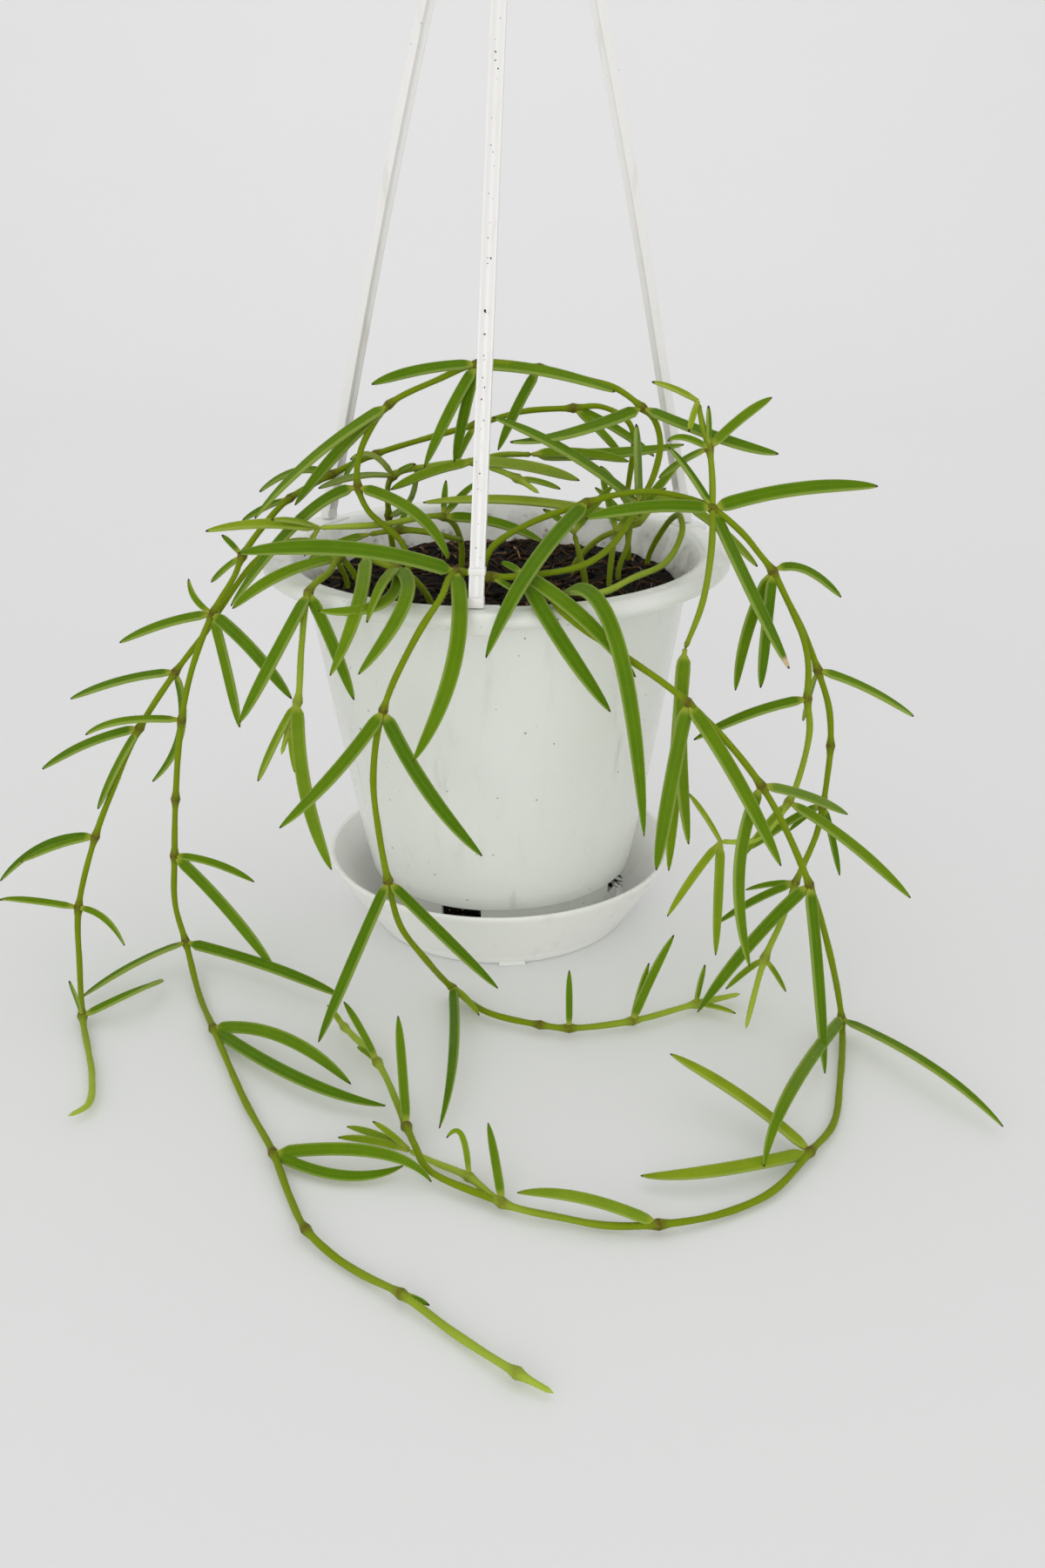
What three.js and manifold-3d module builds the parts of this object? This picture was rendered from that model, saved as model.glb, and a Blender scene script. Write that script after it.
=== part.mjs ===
// Hoya linearis in a white plastic hanging pot, standing on its saucer.
// Millimetres, +Z up. The origin is on the pot's axis, at the underside of the saucer's foot,
// and -Y is the front. The long stems trail over the lip and lie along the surface, z = 0.

import * as THREE from 'three';
import { mergeVertices } from 'three/addons/utils/BufferGeometryUtils.js';
import Module from 'manifold-3d';

const wasm = await Module();
wasm.setup();

// driving dimensions
const clearance = 0.3;          // between pieces that touch
const roundSteps = 40;          // sides of the pot and the saucer

// the pot's wall leans outwards from wallLow to wallHigh, slightly fuller towards its foot
const pot = {
  height: 133, footRadius: 42, footTop: 19, footLean: 0.6, bottom: 3.8, floor: 2, chamfer: 1.5,
  wall: 1.6, insideRise: 1,
  wallLow: { radius: 45.3, z: 19 }, wallHigh: { radius: 62.8, z: 118 }, wallBend: 0.88,
  // heights at which the wall's outline has a point
  bands: [20.5, 60, 118],
  // the rolled lip, as [radius, height], from the top of the outer wall round to the inner wall
  lip: [
    [64.6, 125], [74.4, 127], [77.5, 129], [77.2, 131.6], [75, 133], [69.6, 133], [67.6, 132],
    [65.4, 128.4],
  ],
};
const slot = { count: 4, firstAngle: -18, width: 14, low: 13.5, high: 19.6, depth: 8 };
const saucer = {
  footRadius: 45, lipRadius: 61, height: 25.7, wall: 1.6, floor: 3.4, footBand: 3.8, edge: 0.8,
  footLean: 1.8, footStep: 1.6, tab: { x: 4, angle: 5, width: 9, depth: 3, height: 1.6 },
};
const soil = {
  top: 121, edgeDrop: 1, rings: [46, 30, 15], bump: 1.1, waves: [6.1, 7.3, 4.7], holeRadius: 1.9,
  holeDepth: 9.5, holeSides: 8,
};
const boss = { circle: 73.4, width: 14, depth: 9.4, height: 7, rise: 0.4 };
const arm = {
  count: 3, footAngle: -4, circle: 72.8, width: 4.4, depth: 3.2, rib: 1.1, bow: 2.4, bowAt: 0.45,
  footGap: 1.5, headGap: 0.9, headCircle: 4.5, steps: 9, collarAt: 0.03,
  collar: [5, 3.8, 2], plug: [4.8, 3.6, 3],
};
const hub = { x: 8, z: 383, radius: 9, height: 9, edge: 0.8, band: 3, neckRadius: 3.6, sides: 24 };
const hook = {
  wire: 2.3, radius: 15, neck: 12, neckBend: 0.6, firstTurn: 10, lastTurn: 285, turn: 25, sides: 7,
  steps: 26,
};
const stem = { radius: 1.15, sides: 5, step: 12, knot: 2.3, rootDepth: 9, rootBend: 3 };
const leaf = {
  width: 2, perLength: 0.048, widest: 5, thick: 2, thinnest: 0.7, rise: 0.05,
  faceOut: 0.6, faceUp: 0.7, faceCentre: 60,
  // [place along the blade, share of its full width]
  curvedPlan: [[0, 0.35], [0.1, 0.9], [0.42, 1], [0.75, 0.85], [1, 0.14]],
  straightPlan: [[0, 0.35], [0.1, 0.9], [0.65, 1], [1, 0.14]],
};

const colours = { plastic: 0xf1f1ee, peat: 0x2a2019, leafy: 0x5f8f23 };

// Each leafy stem: stems lists the points of every stem, the first of which stands in the soil,
// and leaves lists [stem, point on it, tip] or [stem, point on it, tip, middle].
const vines = {
  vine_front_right: {
    stems: [
      [[14, -47, 121], [16, -62, 135], [19, -77, 134], [26, -84, 130], [32, -88, 127], [55, -92, 111],
        [77, -94, 86], [93, -94, 54], [101, -93, 30], [107, -90, 5], [101, -120, 2], [95, -141, 2],
        [86, -155, 3], [73, -171, 2], [58, -180, 2], [42, -185, 3], [29, -184, 2], [18, -181, 2],
        [2, -176, 3], [-7, -165, 3], [-17, -157, 2], [-24, -153, 3]],
      [[2, -176, 3], [-18, -163, 4], [-22, -155, 6], [-25, -145, 5], [-36, -111, 4], [-48, -91, 4],
        [-52, -84, 4]],
    ],
    leaves: [
      [0, 5, [82, -106, 66]], [0, 5, [47, -98, 61]], [0, 6, [104, -88, 74]],
      [0, 6, [75, -104, 32], [71, -100, 62]], [0, 7, [63, -82, 3]], [0, 7, [97, -117, 3]],
      [0, 9, [142, -144, 3], [127, -121, 8]], [0, 9, [72, -164, 5], [81, -146, 16]],
      [0, 12, [50, -126, 16], [70, -140, 10]], [0, 12, [39, -165, 3], [58, -167, 6]],
      [0, 15, [6, -177, 7], [23, -182, 9]], [0, 18, [-2, -152, 11]],
      [0, 19, [-13, -160, 12], [-9, -160, 13]], [0, 21, [-42, -142, 3]], [0, 21, [-44, -147, 3]],
      [0, 21, [-34, -148, 9]], [1, 3, [-28, -124, 28]], [1, 4, [-47, -96, 16]],
      [1, 4, [-43, -101, 3]], [1, 5, [-54, -83, 7]],
    ],
  },
  vine_left_long: {
    stems: [
      [[46, 31, 121], [45, 31, 140], [46, 30, 167], [36, 28, 174], [26, 26, 174], [9, 26, 173],
        [-7, 24, 169], [-21, 20, 166], [-40, 10, 162], [-54, 2, 157], [-67, -6, 151], [-73, -14, 146],
        [-81, -22, 136], [-83, -26, 131], [-90, -32, 120], [-97, -35, 104], [-102, -37, 86],
        [-106, -39, 59], [-108, -40, 39], [-109, -42, 22], [-106, -45, 9], [-98, -67, 2], [-89, -90, 3],
        [-73, -128, 2], [-61, -154, 3], [-54, -172, 2], [-48, -186, 3], [-40, -195, 2], [-32, -202, 2],
        [-22, -210, 3], [-9, -222, 2], [6, -236, 3], [14, -241, 2]],
    ],
    leaves: [
      [0, 4, [43, 22, 158]], [0, 4, [54, 29, 157]], [0, 6, [-15, 18, 155]], [0, 8, [-35, 8, 156]],
      [0, 8, [-50, 0, 155], [-46, 6, 161]], [0, 9, [-76, -10, 154], [-65, -2, 159]],
      [0, 10, [-82, -12, 145]],
      [0, 12, [-92, -20, 127]], [0, 12, [-87, -22, 143]], [0, 14, [-121, -30, 110]],
      [0, 14, [-97, -30, 131], [-95, -32, 125]], [0, 14, [-82, -44, 86]], [0, 14, [-62, -62, 102]],
      [0, 16, [-132, -42, 83], [-120, -40, 87]], [0, 18, [-81, -46, 32], [-94, -44, 38]],
      [0, 18, [-74, -60, 7]], [0, 20, [-50, -78, 7], [-75, -62, 9]], [0, 20, [-135, -70, 3]],
      [0, 22, [-43, -121, 3], [-65, -106, 10]], [0, 22, [-32, -132, 3], [-57, -123, 6]],
      [0, 24, [-17, -167, 3], [-32, -162, 9]], [0, 24, [-25, -160, 3], [-41, -164, 3]],
      [0, 29, [-15, -214, 3]],
    ],
  },
  vine_left_far: {
    stems: [
      [[-50, -6, 121], [-58, -10, 137], [-70, -15, 138], [-77, -20, 134], [-90, -22, 118],
        [-94, -24, 112], [-104, -30, 100], [-116, -36, 83], [-127, -39, 61], [-133, -42, 47],
        [-139, -50, 25], [-136, -66, 12], [-132, -82, 3], [-125, -102, 2], [-121, -114, 2],
        [-118, -131, 3], [-122, -136, 3]],
    ],
    leaves: [
      [0, 6, [-139, -30, 91]], [0, 6, [-115, -31, 62], [-105, -27, 78]],
      [0, 7, [-150, -34, 68], [-134, -34, 77]], [0, 7, [-131, -42, 57]],
      [0, 9, [-165, -46, 33], [-151, -40, 43]], [0, 9, [-158, -44, 39]],
      [0, 10, [-164, -52, 29], [-156, -50, 28]], [0, 10, [-123, -58, 15], [-129, -56, 24]],
      [0, 12, [-134, -84, 17]], [0, 12, [-111, -60, 3], [-117, -76, 8]],
    ],
  },
  vine_arch: {
    stems: [
      [[-28, -27, 121], [-29, -26, 140], [-40, -24, 151], [-43, -22, 158], [-43, -19, 165],
        [-40, -16, 173], [-33, -14, 182], [-17, -16, 190], [-5, -20, 195], [14, -22, 194],
        [29, -20, 190], [38, -18, 187], [46, -16, 181], [50, -15, 177], [52, -16, 170], [50, -20, 161],
        [45, -26, 153], [37, -38, 144], [27, -50, 140], [9, -62, 140], [-1, -63, 140], [-11, -65, 142],
        [-15, -78, 138], [-21, -84, 130], [-29, -86, 115], [-32, -86, 107], [-34, -86, 100],
        [-36, -85, 84], [-35, -84, 66], [-33, -84, 51], [-30, -84, 36], [-23, -80, 22], [-15, -68, 4],
        [-4, -81, 3], [13, -89, 3], [22, -91, 3], [42, -87, 3], [63, -77, 3], [78, -71, 3]],
    ],
    leaves: [
      [0, 3, [-83, -37, 124], [-61, -28, 149]], [0, 3, [-14, -44, 140], [-24, -34, 152]],
      [0, 6, [-74, -34, 151], [-56, -26, 168]], [0, 6, [-64, -16, 151]],
      [0, 8, [-37, -26, 190], [-22, -24, 194]], [0, 8, [-22, -22, 164]], [0, 8, [-13, -14, 164]],
      [0, 8, [37, -24, 187], [17, -24, 193]], [0, 9, [1, -16, 168]],
      [0, 12, [5, -40, 175], [23, -32, 176]], [0, 12, [87, -30, 169], [70, -26, 173]],
      [0, 16, [0, -44, 183]], [0, 16, [43, -34, 179]], [0, 19, [33, -94, 109], [18, -84, 129]],
      [0, 19, [40, -93, 119], [25, -84, 134]], [0, 21, [-70, -88, 154], [-40, -80, 153]],
      [0, 21, [-23, -98, 96], [-11, -94, 124]], [0, 25, [-61, -106, 79], [-45, -98, 93]],
      [0, 25, [-4, -96, 65], [-20, -92, 85]], [0, 29, [-54, -106, 8], [-43, -98, 32]],
      [0, 29, [0, -92, 18], [-16, -90, 35]], [0, 32, [-16, -143, 3], [-13, -117, 9]],
      [0, 32, [-6, -88, 6]], [0, 35, [22, -90, 23]], [0, 36, [47, -84, 22]], [0, 36, [54, -88, 34]],
      [0, 37, [65, -80, 19]], [0, 37, [75, -83, 3]], [0, 20, [8, -66, 135]], [0, 19, [2, -54, 142]],
    ],
  },
  vine_front_left: {
    stems: [
      [[-42, -26, 121], [-48, -36, 139], [-50, -49, 138], [-55, -61, 135], [-57, -68, 121],
        [-59, -70, 104], [-62, -70, 96], [-65, -70, 87]],
    ],
    leaves: [
      [0, 1, [-80, -50, 127], [-65, -48, 137]], [0, 3, [-76, -74, 99], [-64, -74, 120]],
      [0, 3, [-41, -80, 108]], [0, 5, [-72, -74, 80]], [0, 5, [-50, -84, 55], [-57, -80, 80]],
      [0, 6, [-61, -72, 82]],
    ],
  },
  stem_front_rim: {
    stems: [[[-20, -38, 121], [-24, -46, 134], [-29, -54, 140], [-39, -48, 142]]],
    leaves: [
      [0, 2, [-36, -82, 132], [-32, -74, 141]], [0, 2, [-38, -92, 120], [-25, -82, 138]],
      [0, 2, [-50, -80, 135], [-32, -76, 136]], [0, 3, [-47, -84, 117], [-39, -80, 135]],
    ],
  },
  vine_right: {
    stems: [
      [[-4, -50, 121], [-4, -50, 136], [-1, -50, 145], [10, -44, 151], [28, -38, 156], [37, -36, 158],
        [47, -36, 159], [56, -38, 158], [66, -42, 155], [75, -44, 148], [81, -44, 141], [85, -44, 136],
        [91, -44, 125], [96, -44, 116], [101, -44, 104], [105, -46, 92], [106, -48, 80],
        [105, -51, 69], [104, -53, 62], [102, -56, 53], [95, -63, 39], [90, -70, 29], [84, -78, 20],
        [80, -85, 10], [77, -92, 3]],
      [[91, -44, 125], [95, -47, 116], [97, -49, 107], [97, -51, 97], [98, -53, 87], [95, -56, 72],
        [92, -58, 65], [82, -62, 54], [70, -66, 55]],
      [[66, -42, 155], [65, -52, 146], [62, -60, 131], [57, -62, 117]],
      [[66, -42, 155], [66, -38, 164], [65, -36, 172], [63, -36, 178], [61, -36, 186]],
    ],
    leaves: [
      [0, 4, [-2, -93, 125], [10, -70, 143]], [0, 4, [11, -44, 140]], [0, 8, [116, -40, 161]],
      [0, 8, [27, -54, 155]], [0, 8, [53, -34, 172]], [0, 8, [88, -66, 112], [77, -56, 133]],
      [3, 2, [64, -38, 185]], [3, 2, [85, -24, 185]], [3, 2, [51, -26, 161]],
      [3, 2, [52, -40, 175], [57, -40, 176]], [3, 4, [47, -38, 192]], [3, 4, [58, -42, 178]],
      [2, 3, [59, -74, 58], [56, -68, 90]], [2, 3, [54, -66, 45]],
      [0, 11, [107, -42, 127], [95, -42, 136]], [0, 11, [76, -40, 96], [79, -42, 118]],
      [0, 11, [82, -52, 101]], [0, 14, [132, -46, 89]], [0, 14, [99, -36, 84]],
      [1, 3, [61, -60, 87]], [1, 6, [128, -78, 41]], [1, 6, [77, -64, 48]], [1, 8, [60, -60, 69]],
      [1, 8, [53, -76, 34]], [1, 8, [69, -74, 19]], [0, 18, [110, -58, 39]], [0, 18, [94, -50, 51]],
      [0, 18, [83, -46, 43]], [0, 20, [70, -66, 26]], [0, 20, [80, -58, 34]], [0, 22, [91, -80, 9]],
      [0, 22, [73, -73, 6]],
    ],
  },
  stem_loop_right: {
    stems: [
      [[52, 18, 121], [57, 11, 137], [60, -4, 144], [60, -14, 141], [54, -28, 135], [42, -44, 134],
        [32, -56, 133], [21, -66, 136]],
    ],
    leaves: [[0, 7, [43, -100, 73], [34, -94, 131]]],
  },
  stem_mid_left: {
    stems: [
      [[-12, 0, 121], [-12, -2, 136], [-17, -12, 146], [-36, -22, 146], [-55, -30, 147]],
      [[-12, -2, 136], [-15, -11, 139], [-22, -16, 142], [-31, -17, 143], [-41, -19, 142]],
    ],
    leaves: [
      [0, 4, [-87, -46, 150]], [0, 4, [-60, -30, 138]], [0, 4, [-68, -40, 152]],
      [0, 2, [15, -22, 140], [0, -16, 145]], [0, 2, [-16, -8, 157]], [0, 2, [-6, -6, 156]],
      [1, 4, [-58, -34, 138]], [1, 3, [-27, -10, 152]],
    ],
  },
  stem_back_left: {
    stems: [
      [[-36, 20, 121], [-37, 16, 140], [-34, 4, 156], [-21, 0, 160], [-7, -4, 162], [-1, -4, 160],
        [7, -6, 157], [14, -10, 153]],
      [[-7, -4, 162], [1, 2, 163], [12, 8, 162]],
    ],
    leaves: [
      [0, 2, [-26, -2, 161]], [0, 2, [-47, -4, 163], [-40, -2, 164]],
      [0, 2, [-57, -10, 155], [-45, -6, 158]], [0, 1, [-26, 2, 160], [-29, 8, 147]],
      [0, 4, [-34, -8, 154]], [0, 4, [27, -10, 157]], [0, 6, [21, -4, 153]],
      [1, 2, [63, 18, 163], [38, 14, 161]], [1, 2, [44, 10, 159]],
    ],
  },
  stem_back_right: {
    stems: [[[26, 8, 121], [34, 5, 134], [47, 0, 141], [54, 0, 148], [62, -6, 148]]],
    leaves: [
      [0, 2, [-23, -18, 152]], [0, 2, [34, -2, 160]], [0, 4, [84, -20, 131]], [0, 4, [50, 0, 149]],
    ],
  },
  stem_upright_1: {
    stems: [[[29, -16, 121], [27, -18, 134], [25, -18, 142]]],
    leaves: [[0, 2, [38, -12, 156]], [0, 2, [15, -24, 151]]],
  },
  stem_upright_2: {
    stems: [[[37, -10, 121], [38, -9, 134], [39, -8, 140]]],
    leaves: [[0, 2, [34, -4, 158]], [0, 2, [55, -8, 154]]],
  },
  stem_upright_3: {
    stems: [[[41, 4, 121], [44, 6, 132], [45, 8, 138]]],
    leaves: [[0, 2, [62, 20, 156]], [0, 2, [33, 12, 150]]],
  },
};

const degrees = (angle) => THREE.MathUtils.degToRad(angle);
const point = (list) => new THREE.Vector3(...list);

// a point at a compass angle round the pot, 0 at the front, growing to the right
function around(angle, radius, z) {
  return new THREE.Vector3(radius * Math.sin(degrees(angle)), -radius * Math.cos(degrees(angle)), z);
}

function solidFrom(geometry) {
  const bare = geometry.clone();
  bare.deleteAttribute('normal');
  bare.deleteAttribute('uv');
  const merged = mergeVertices(bare, 1e-4);
  return new wasm.Manifold(new wasm.Mesh({
    numProp: 3,
    vertProperties: new Float32Array(merged.attributes.position.array),
    triVerts: new Uint32Array(merged.index.array),
  }));
}

function geometryFrom(solid) {
  const mesh = solid.getMesh();
  const geometry = new THREE.BufferGeometry();
  geometry.setAttribute('position', new THREE.BufferAttribute(mesh.vertProperties, 3));
  geometry.setIndex(new THREE.BufferAttribute(mesh.triVerts, 1));
  return geometry;
}

const joined = (pieces) => pieces.reduce((whole, piece) => whole.add(piece));

// a closed profile of [radius, height] turned round the Z axis
function turned(profile, steps = roundSteps) {
  const geometry = new THREE.LatheGeometry(profile.map(([r, z]) => new THREE.Vector2(r, z)), steps);
  geometry.rotateX(Math.PI / 2);
  return geometry;
}

const shapeOf = (outline) => new THREE.Shape(outline.map(([x, y]) => new THREE.Vector2(x, y)));

// an outline carried along a curve: each station is [place along it, width scale, thickness scale],
// and face is the direction in which the outline's own y points
function swept(outline, curve, stations, face) {
  const geometry = new THREE.ExtrudeGeometry(shapeOf(outline), {
    depth: stations.length - 1, steps: stations.length - 1, bevelEnabled: false,
  });
  const position = geometry.attributes.position;
  for (let i = 0; i < position.count; i += 1) {
    const [along, wide, thick] = stations[Math.round(position.getZ(i))];
    const tangent = curve.getTangent(along);
    const side = face.clone().cross(tangent).normalize();
    const up = tangent.clone().cross(side);
    const place = curve.getPoint(along)
      .addScaledVector(side, position.getX(i) * wide)
      .addScaledVector(up, position.getY(i) * thick);
    position.setXYZ(i, place.x, place.y, place.z);
  }
  return geometry;
}

const regular = (sides, radius) => Array.from({ length: sides }, (_, k) => [
  radius * Math.cos((2 * Math.PI * k) / sides), radius * Math.sin((2 * Math.PI * k) / sides),
]);

// a box of [width, depth, height] turned to face a compass angle, with its centre at a place
function turnedBox(size, angle, place) {
  const box = new THREE.BoxGeometry(...size);
  box.rotateZ(degrees(angle));
  box.translate(place.x, place.y, place.z);
  return solidFrom(box);
}

function wallRadius(z) {
  const { wallLow, wallHigh, wallBend } = pot;
  const share = (z - wallLow.z) / (wallHigh.z - wallLow.z);
  return wallLow.radius + (wallHigh.radius - wallLow.radius) * share ** wallBend;
}

// the cup's inner face from its floor upwards, as [radius, height]
function potInside() {
  const { footRadius, footTop, footLean, bottom, floor, wall, insideRise, bands } = pot;
  const corner = [footRadius - wall, bottom + floor];
  const shoulder = [footRadius + footLean - wall, footTop + insideRise];
  return [corner, shoulder, ...bands.map((z) => [wallRadius(z) - wall, z + insideRise])];
}

function makePot() {
  const { footRadius, footTop, footLean, bottom, floor, chamfer } = pot;
  const profile = [
    [0, bottom], [footRadius - chamfer, bottom], [footRadius, bottom + chamfer],
    [footRadius + footLean, footTop], ...pot.bands.map((z) => [wallRadius(z), z]), ...pot.lip,
    ...potInside().reverse(), [0, bottom + floor],
  ];
  const bosses = Array.from({ length: arm.count }, (_, k) => {
    const angle = arm.footAngle + (360 / arm.count) * k;
    const seat = around(angle, boss.circle, pot.height + boss.rise - boss.height / 2);
    return turnedBox([boss.width, boss.depth, boss.height], angle, seat);
  });
  let body = joined([solidFrom(turned(profile)), ...bosses]);
  for (let k = 0; k < slot.count; k += 1) {
    const angle = slot.firstAngle + (360 / slot.count) * k;
    const place = around(angle, footRadius, (slot.high + slot.low) / 2);
    body = body.subtract(turnedBox([slot.width, slot.depth, slot.high - slot.low], angle, place));
  }
  return geometryFrom(body);
}

function makeSaucer() {
  const { footRadius, lipRadius, height, wall, floor, footBand, edge, footLean, footStep, tab } = saucer;
  const profile = [
    [0, 0], [footRadius, 0], [footRadius + edge, edge], [footRadius + footLean, footBand],
    [footRadius + footLean + footStep, footBand + edge], [lipRadius - edge / 2, height - 2],
    [lipRadius, height - edge], [lipRadius - edge / 2, height], [lipRadius - wall, height - edge / 2],
    [footRadius - 1, floor], [0, floor],
  ];
  const place = new THREE.Vector3(tab.x, -footRadius - edge / 2, tab.height / 2);
  const foot = turnedBox([tab.width, tab.depth, tab.height], tab.angle, place);
  return geometryFrom(solidFrom(turned(profile)).add(foot));
}

// peat that fills the pot, uneven on top, with a plain hole for each stem that stands in it
function makeSoil() {
  const sides = potInside().map(([radius, z]) => [radius - clearance, z + clearance]);
  const profile = [
    [0, sides[0][1]], ...sides, [sides.at(-1)[0], soil.top - soil.edgeDrop],
    ...soil.rings.map((radius) => [radius, soil.top]), [0, soil.top],
  ];
  const [waveX, waveY, waveAcross] = soil.waves;
  const geometry = turned(profile);
  const position = geometry.attributes.position;
  for (let i = 0; i < position.count; i += 1) {
    const x = position.getX(i);
    const y = position.getY(i);
    if (position.getZ(i) === soil.top) {
      const wave = Math.sin(x / waveX + 1) * Math.cos(y / waveY) + Math.sin((x - y) / waveAcross);
      position.setZ(i, soil.top + soil.bump * wave);
    }
  }
  const { holeRadius, holeDepth, holeSides } = soil;
  const holes = Object.values(vines).map(({ stems }) => {
    const [x, y] = stems[0][0];
    const hole = new THREE.CylinderGeometry(holeRadius, holeRadius, 2 * holeDepth, holeSides);
    hole.rotateX(Math.PI / 2);
    hole.translate(x, y, soil.top);
    return solidFrom(hole);
  });
  return geometryFrom(holes.reduce((body, hole) => body.subtract(hole), solidFrom(geometry)));
}

// a ribbed bar from the lip to the hub, bowed a little outwards
function makeArm(angle) {
  const foot = around(angle, arm.circle, pot.height + boss.rise + clearance);
  const start = foot.clone().add(new THREE.Vector3(0, 0, arm.footGap));
  const head = around(angle, arm.headCircle, hub.z - arm.headGap).add(new THREE.Vector3(hub.x, 0, 0));
  const middle = foot.clone().lerp(head, arm.bowAt).add(around(angle, arm.bow, 0));
  const curve = new THREE.CatmullRomCurve3([start, middle, head]);
  const w = arm.width / 2;
  const d = arm.depth / 2;
  const r = arm.rib / 2;
  const outline = [
    [-w, -d], [-w + r, -d], [-r, -r], [r, -r], [w - r, -d], [w, -d],
    [w, d], [w - r, d], [r, r], [-r, r], [-w + r, d], [-w, d],
  ];
  const stations = Array.from({ length: arm.steps + 1 }, (_, k) => [k / arm.steps, 1, 1]);
  const bar = solidFrom(swept(outline, curve, stations, around(angle, 1, 0)));
  const collar = turnedBox(arm.collar, angle, curve.getPoint(arm.collarAt));
  const plugPlace = foot.clone().add(new THREE.Vector3(0, 0, arm.plug[2] / 2));
  return geometryFrom(joined([bar, collar, turnedBox(arm.plug, angle, plugPlace)]));
}

// the hub that the arms meet under, with the hook above it
function makeHook() {
  const { radius, height, edge, band, neckRadius } = hub;
  const top = hub.z + height;
  const profile = [
    [0, hub.z], [radius - edge, hub.z], [radius, hub.z + edge], [radius, hub.z + band],
    [neckRadius, top], [0, top],
  ];
  const base = top - 1;
  const centre = base + hook.neck + hook.radius;
  const route = [[0, 0, base], [0, 0, base + hook.neck * hook.neckBend]];
  for (let turn = hook.firstTurn; turn <= hook.lastTurn; turn += hook.turn) {
    const across = hook.radius * Math.sin(degrees(turn));
    route.push([across, 0, centre - hook.radius * Math.cos(degrees(turn))]);
  }
  const wire = new THREE.ExtrudeGeometry(shapeOf(regular(hook.sides, hook.wire)), {
    steps: hook.steps, extrudePath: new THREE.CatmullRomCurve3(route.map(point)), bevelEnabled: false,
  });
  const whole = solidFrom(turned(profile, hub.sides)).add(solidFrom(wire));
  return geometryFrom(whole.translate([hub.x, 0, 0]));
}

// a stem's centre line: one that stands in the soil comes straight up out of its hole
function stemCurve(points, rooted) {
  const [x, y] = points[0];
  const root = [-stem.rootDepth, -stem.rootBend, stem.rootBend].map((rise) => [x, y, soil.top + rise]);
  const route = rooted ? [...root, ...points.slice(1)] : points;
  return new THREE.CatmullRomCurve3(route.map(point), false, 'centripetal');
}

function makeStem(points, rooted) {
  const curve = stemCurve(points, rooted);
  const steps = Math.ceil(curve.getLength() / stem.step);
  return new THREE.ExtrudeGeometry(shapeOf(regular(stem.sides, stem.radius)), {
    steps, extrudePath: curve, bevelEnabled: false,
  });
}

function makeKnot(place) {
  const knot = new THREE.OctahedronGeometry(stem.knot, 0);
  knot.translate(...place);
  return knot;
}

// a fleshy blade, blunt at its foot and pointed at its tip, with its upper face up and away from
// a point faceCentre behind the pot's axis
function makeLeaf(foot, tip, middle) {
  const from = point(foot);
  const to = point(tip);
  const length = from.distanceTo(to);
  const through = middle ? point(middle)
    : from.clone().lerp(to, 0.5).add(new THREE.Vector3(0, 0, leaf.rise * length));
  const pull = through.multiplyScalar(2).sub(from.clone().add(to).multiplyScalar(0.5));
  const curve = new THREE.QuadraticBezierCurve3(from, pull, to);
  const width = Math.min(leaf.width + leaf.perLength * length, leaf.widest);
  const outward = new THREE.Vector3(foot[0], foot[1] - leaf.faceCentre, 0).normalize();
  const face = outward.multiplyScalar(leaf.faceOut).add(new THREE.Vector3(0, 0, leaf.faceUp));
  const plan = middle ? leaf.curvedPlan : leaf.straightPlan;
  const stations = plan.map(([along, part]) => [
    along, (part * width) / 2, Math.max(part * leaf.thick, leaf.thinnest) / 2,
  ]);
  return swept([[-1, 0], [0, -1], [1, 0], [0, 1]], curve, stations, face);
}

function makeVine({ stems, leaves }) {
  const pieces = stems.map((points, k) => makeStem(points, k === 0));
  const knots = new Set(leaves.map(([branch, index]) => `${branch},${index}`));
  for (const knot of knots) {
    const [branch, index] = knot.split(',');
    pieces.push(makeKnot(stems[branch][index]));
  }
  for (const [branch, index, tip, middle] of leaves) {
    pieces.push(makeLeaf(stems[branch][index], tip, middle));
  }
  return geometryFrom(joined(pieces.map(solidFrom)));
}

const part = new THREE.Group();

function addPiece(name, geometry, colour, roughness) {
  const material = new THREE.MeshStandardMaterial({ color: colour, roughness, metalness: 0 });
  const mesh = new THREE.Mesh(geometry, material);
  mesh.name = name;
  part.add(mesh);
}

addPiece('saucer', makeSaucer(), colours.plastic, 0.35);
addPiece('pot', makePot(), colours.plastic, 0.3);
addPiece('soil', makeSoil(), colours.peat, 0.95);
['front', 'right', 'left'].forEach((place, k) => {
  addPiece(`hanger_arm_${place}`, makeArm(arm.footAngle + (360 / arm.count) * k), colours.plastic, 0.35);
});
addPiece('hanger_hook', makeHook(), colours.plastic, 0.35);
for (const [name, vine] of Object.entries(vines)) {
  addPiece(name, makeVine(vine), colours.leafy, 0.6);
}

export default part;
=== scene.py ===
import math
import random

import bmesh
import bpy
import numpy as np
from mathutils import Matrix, Vector, noise


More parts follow.
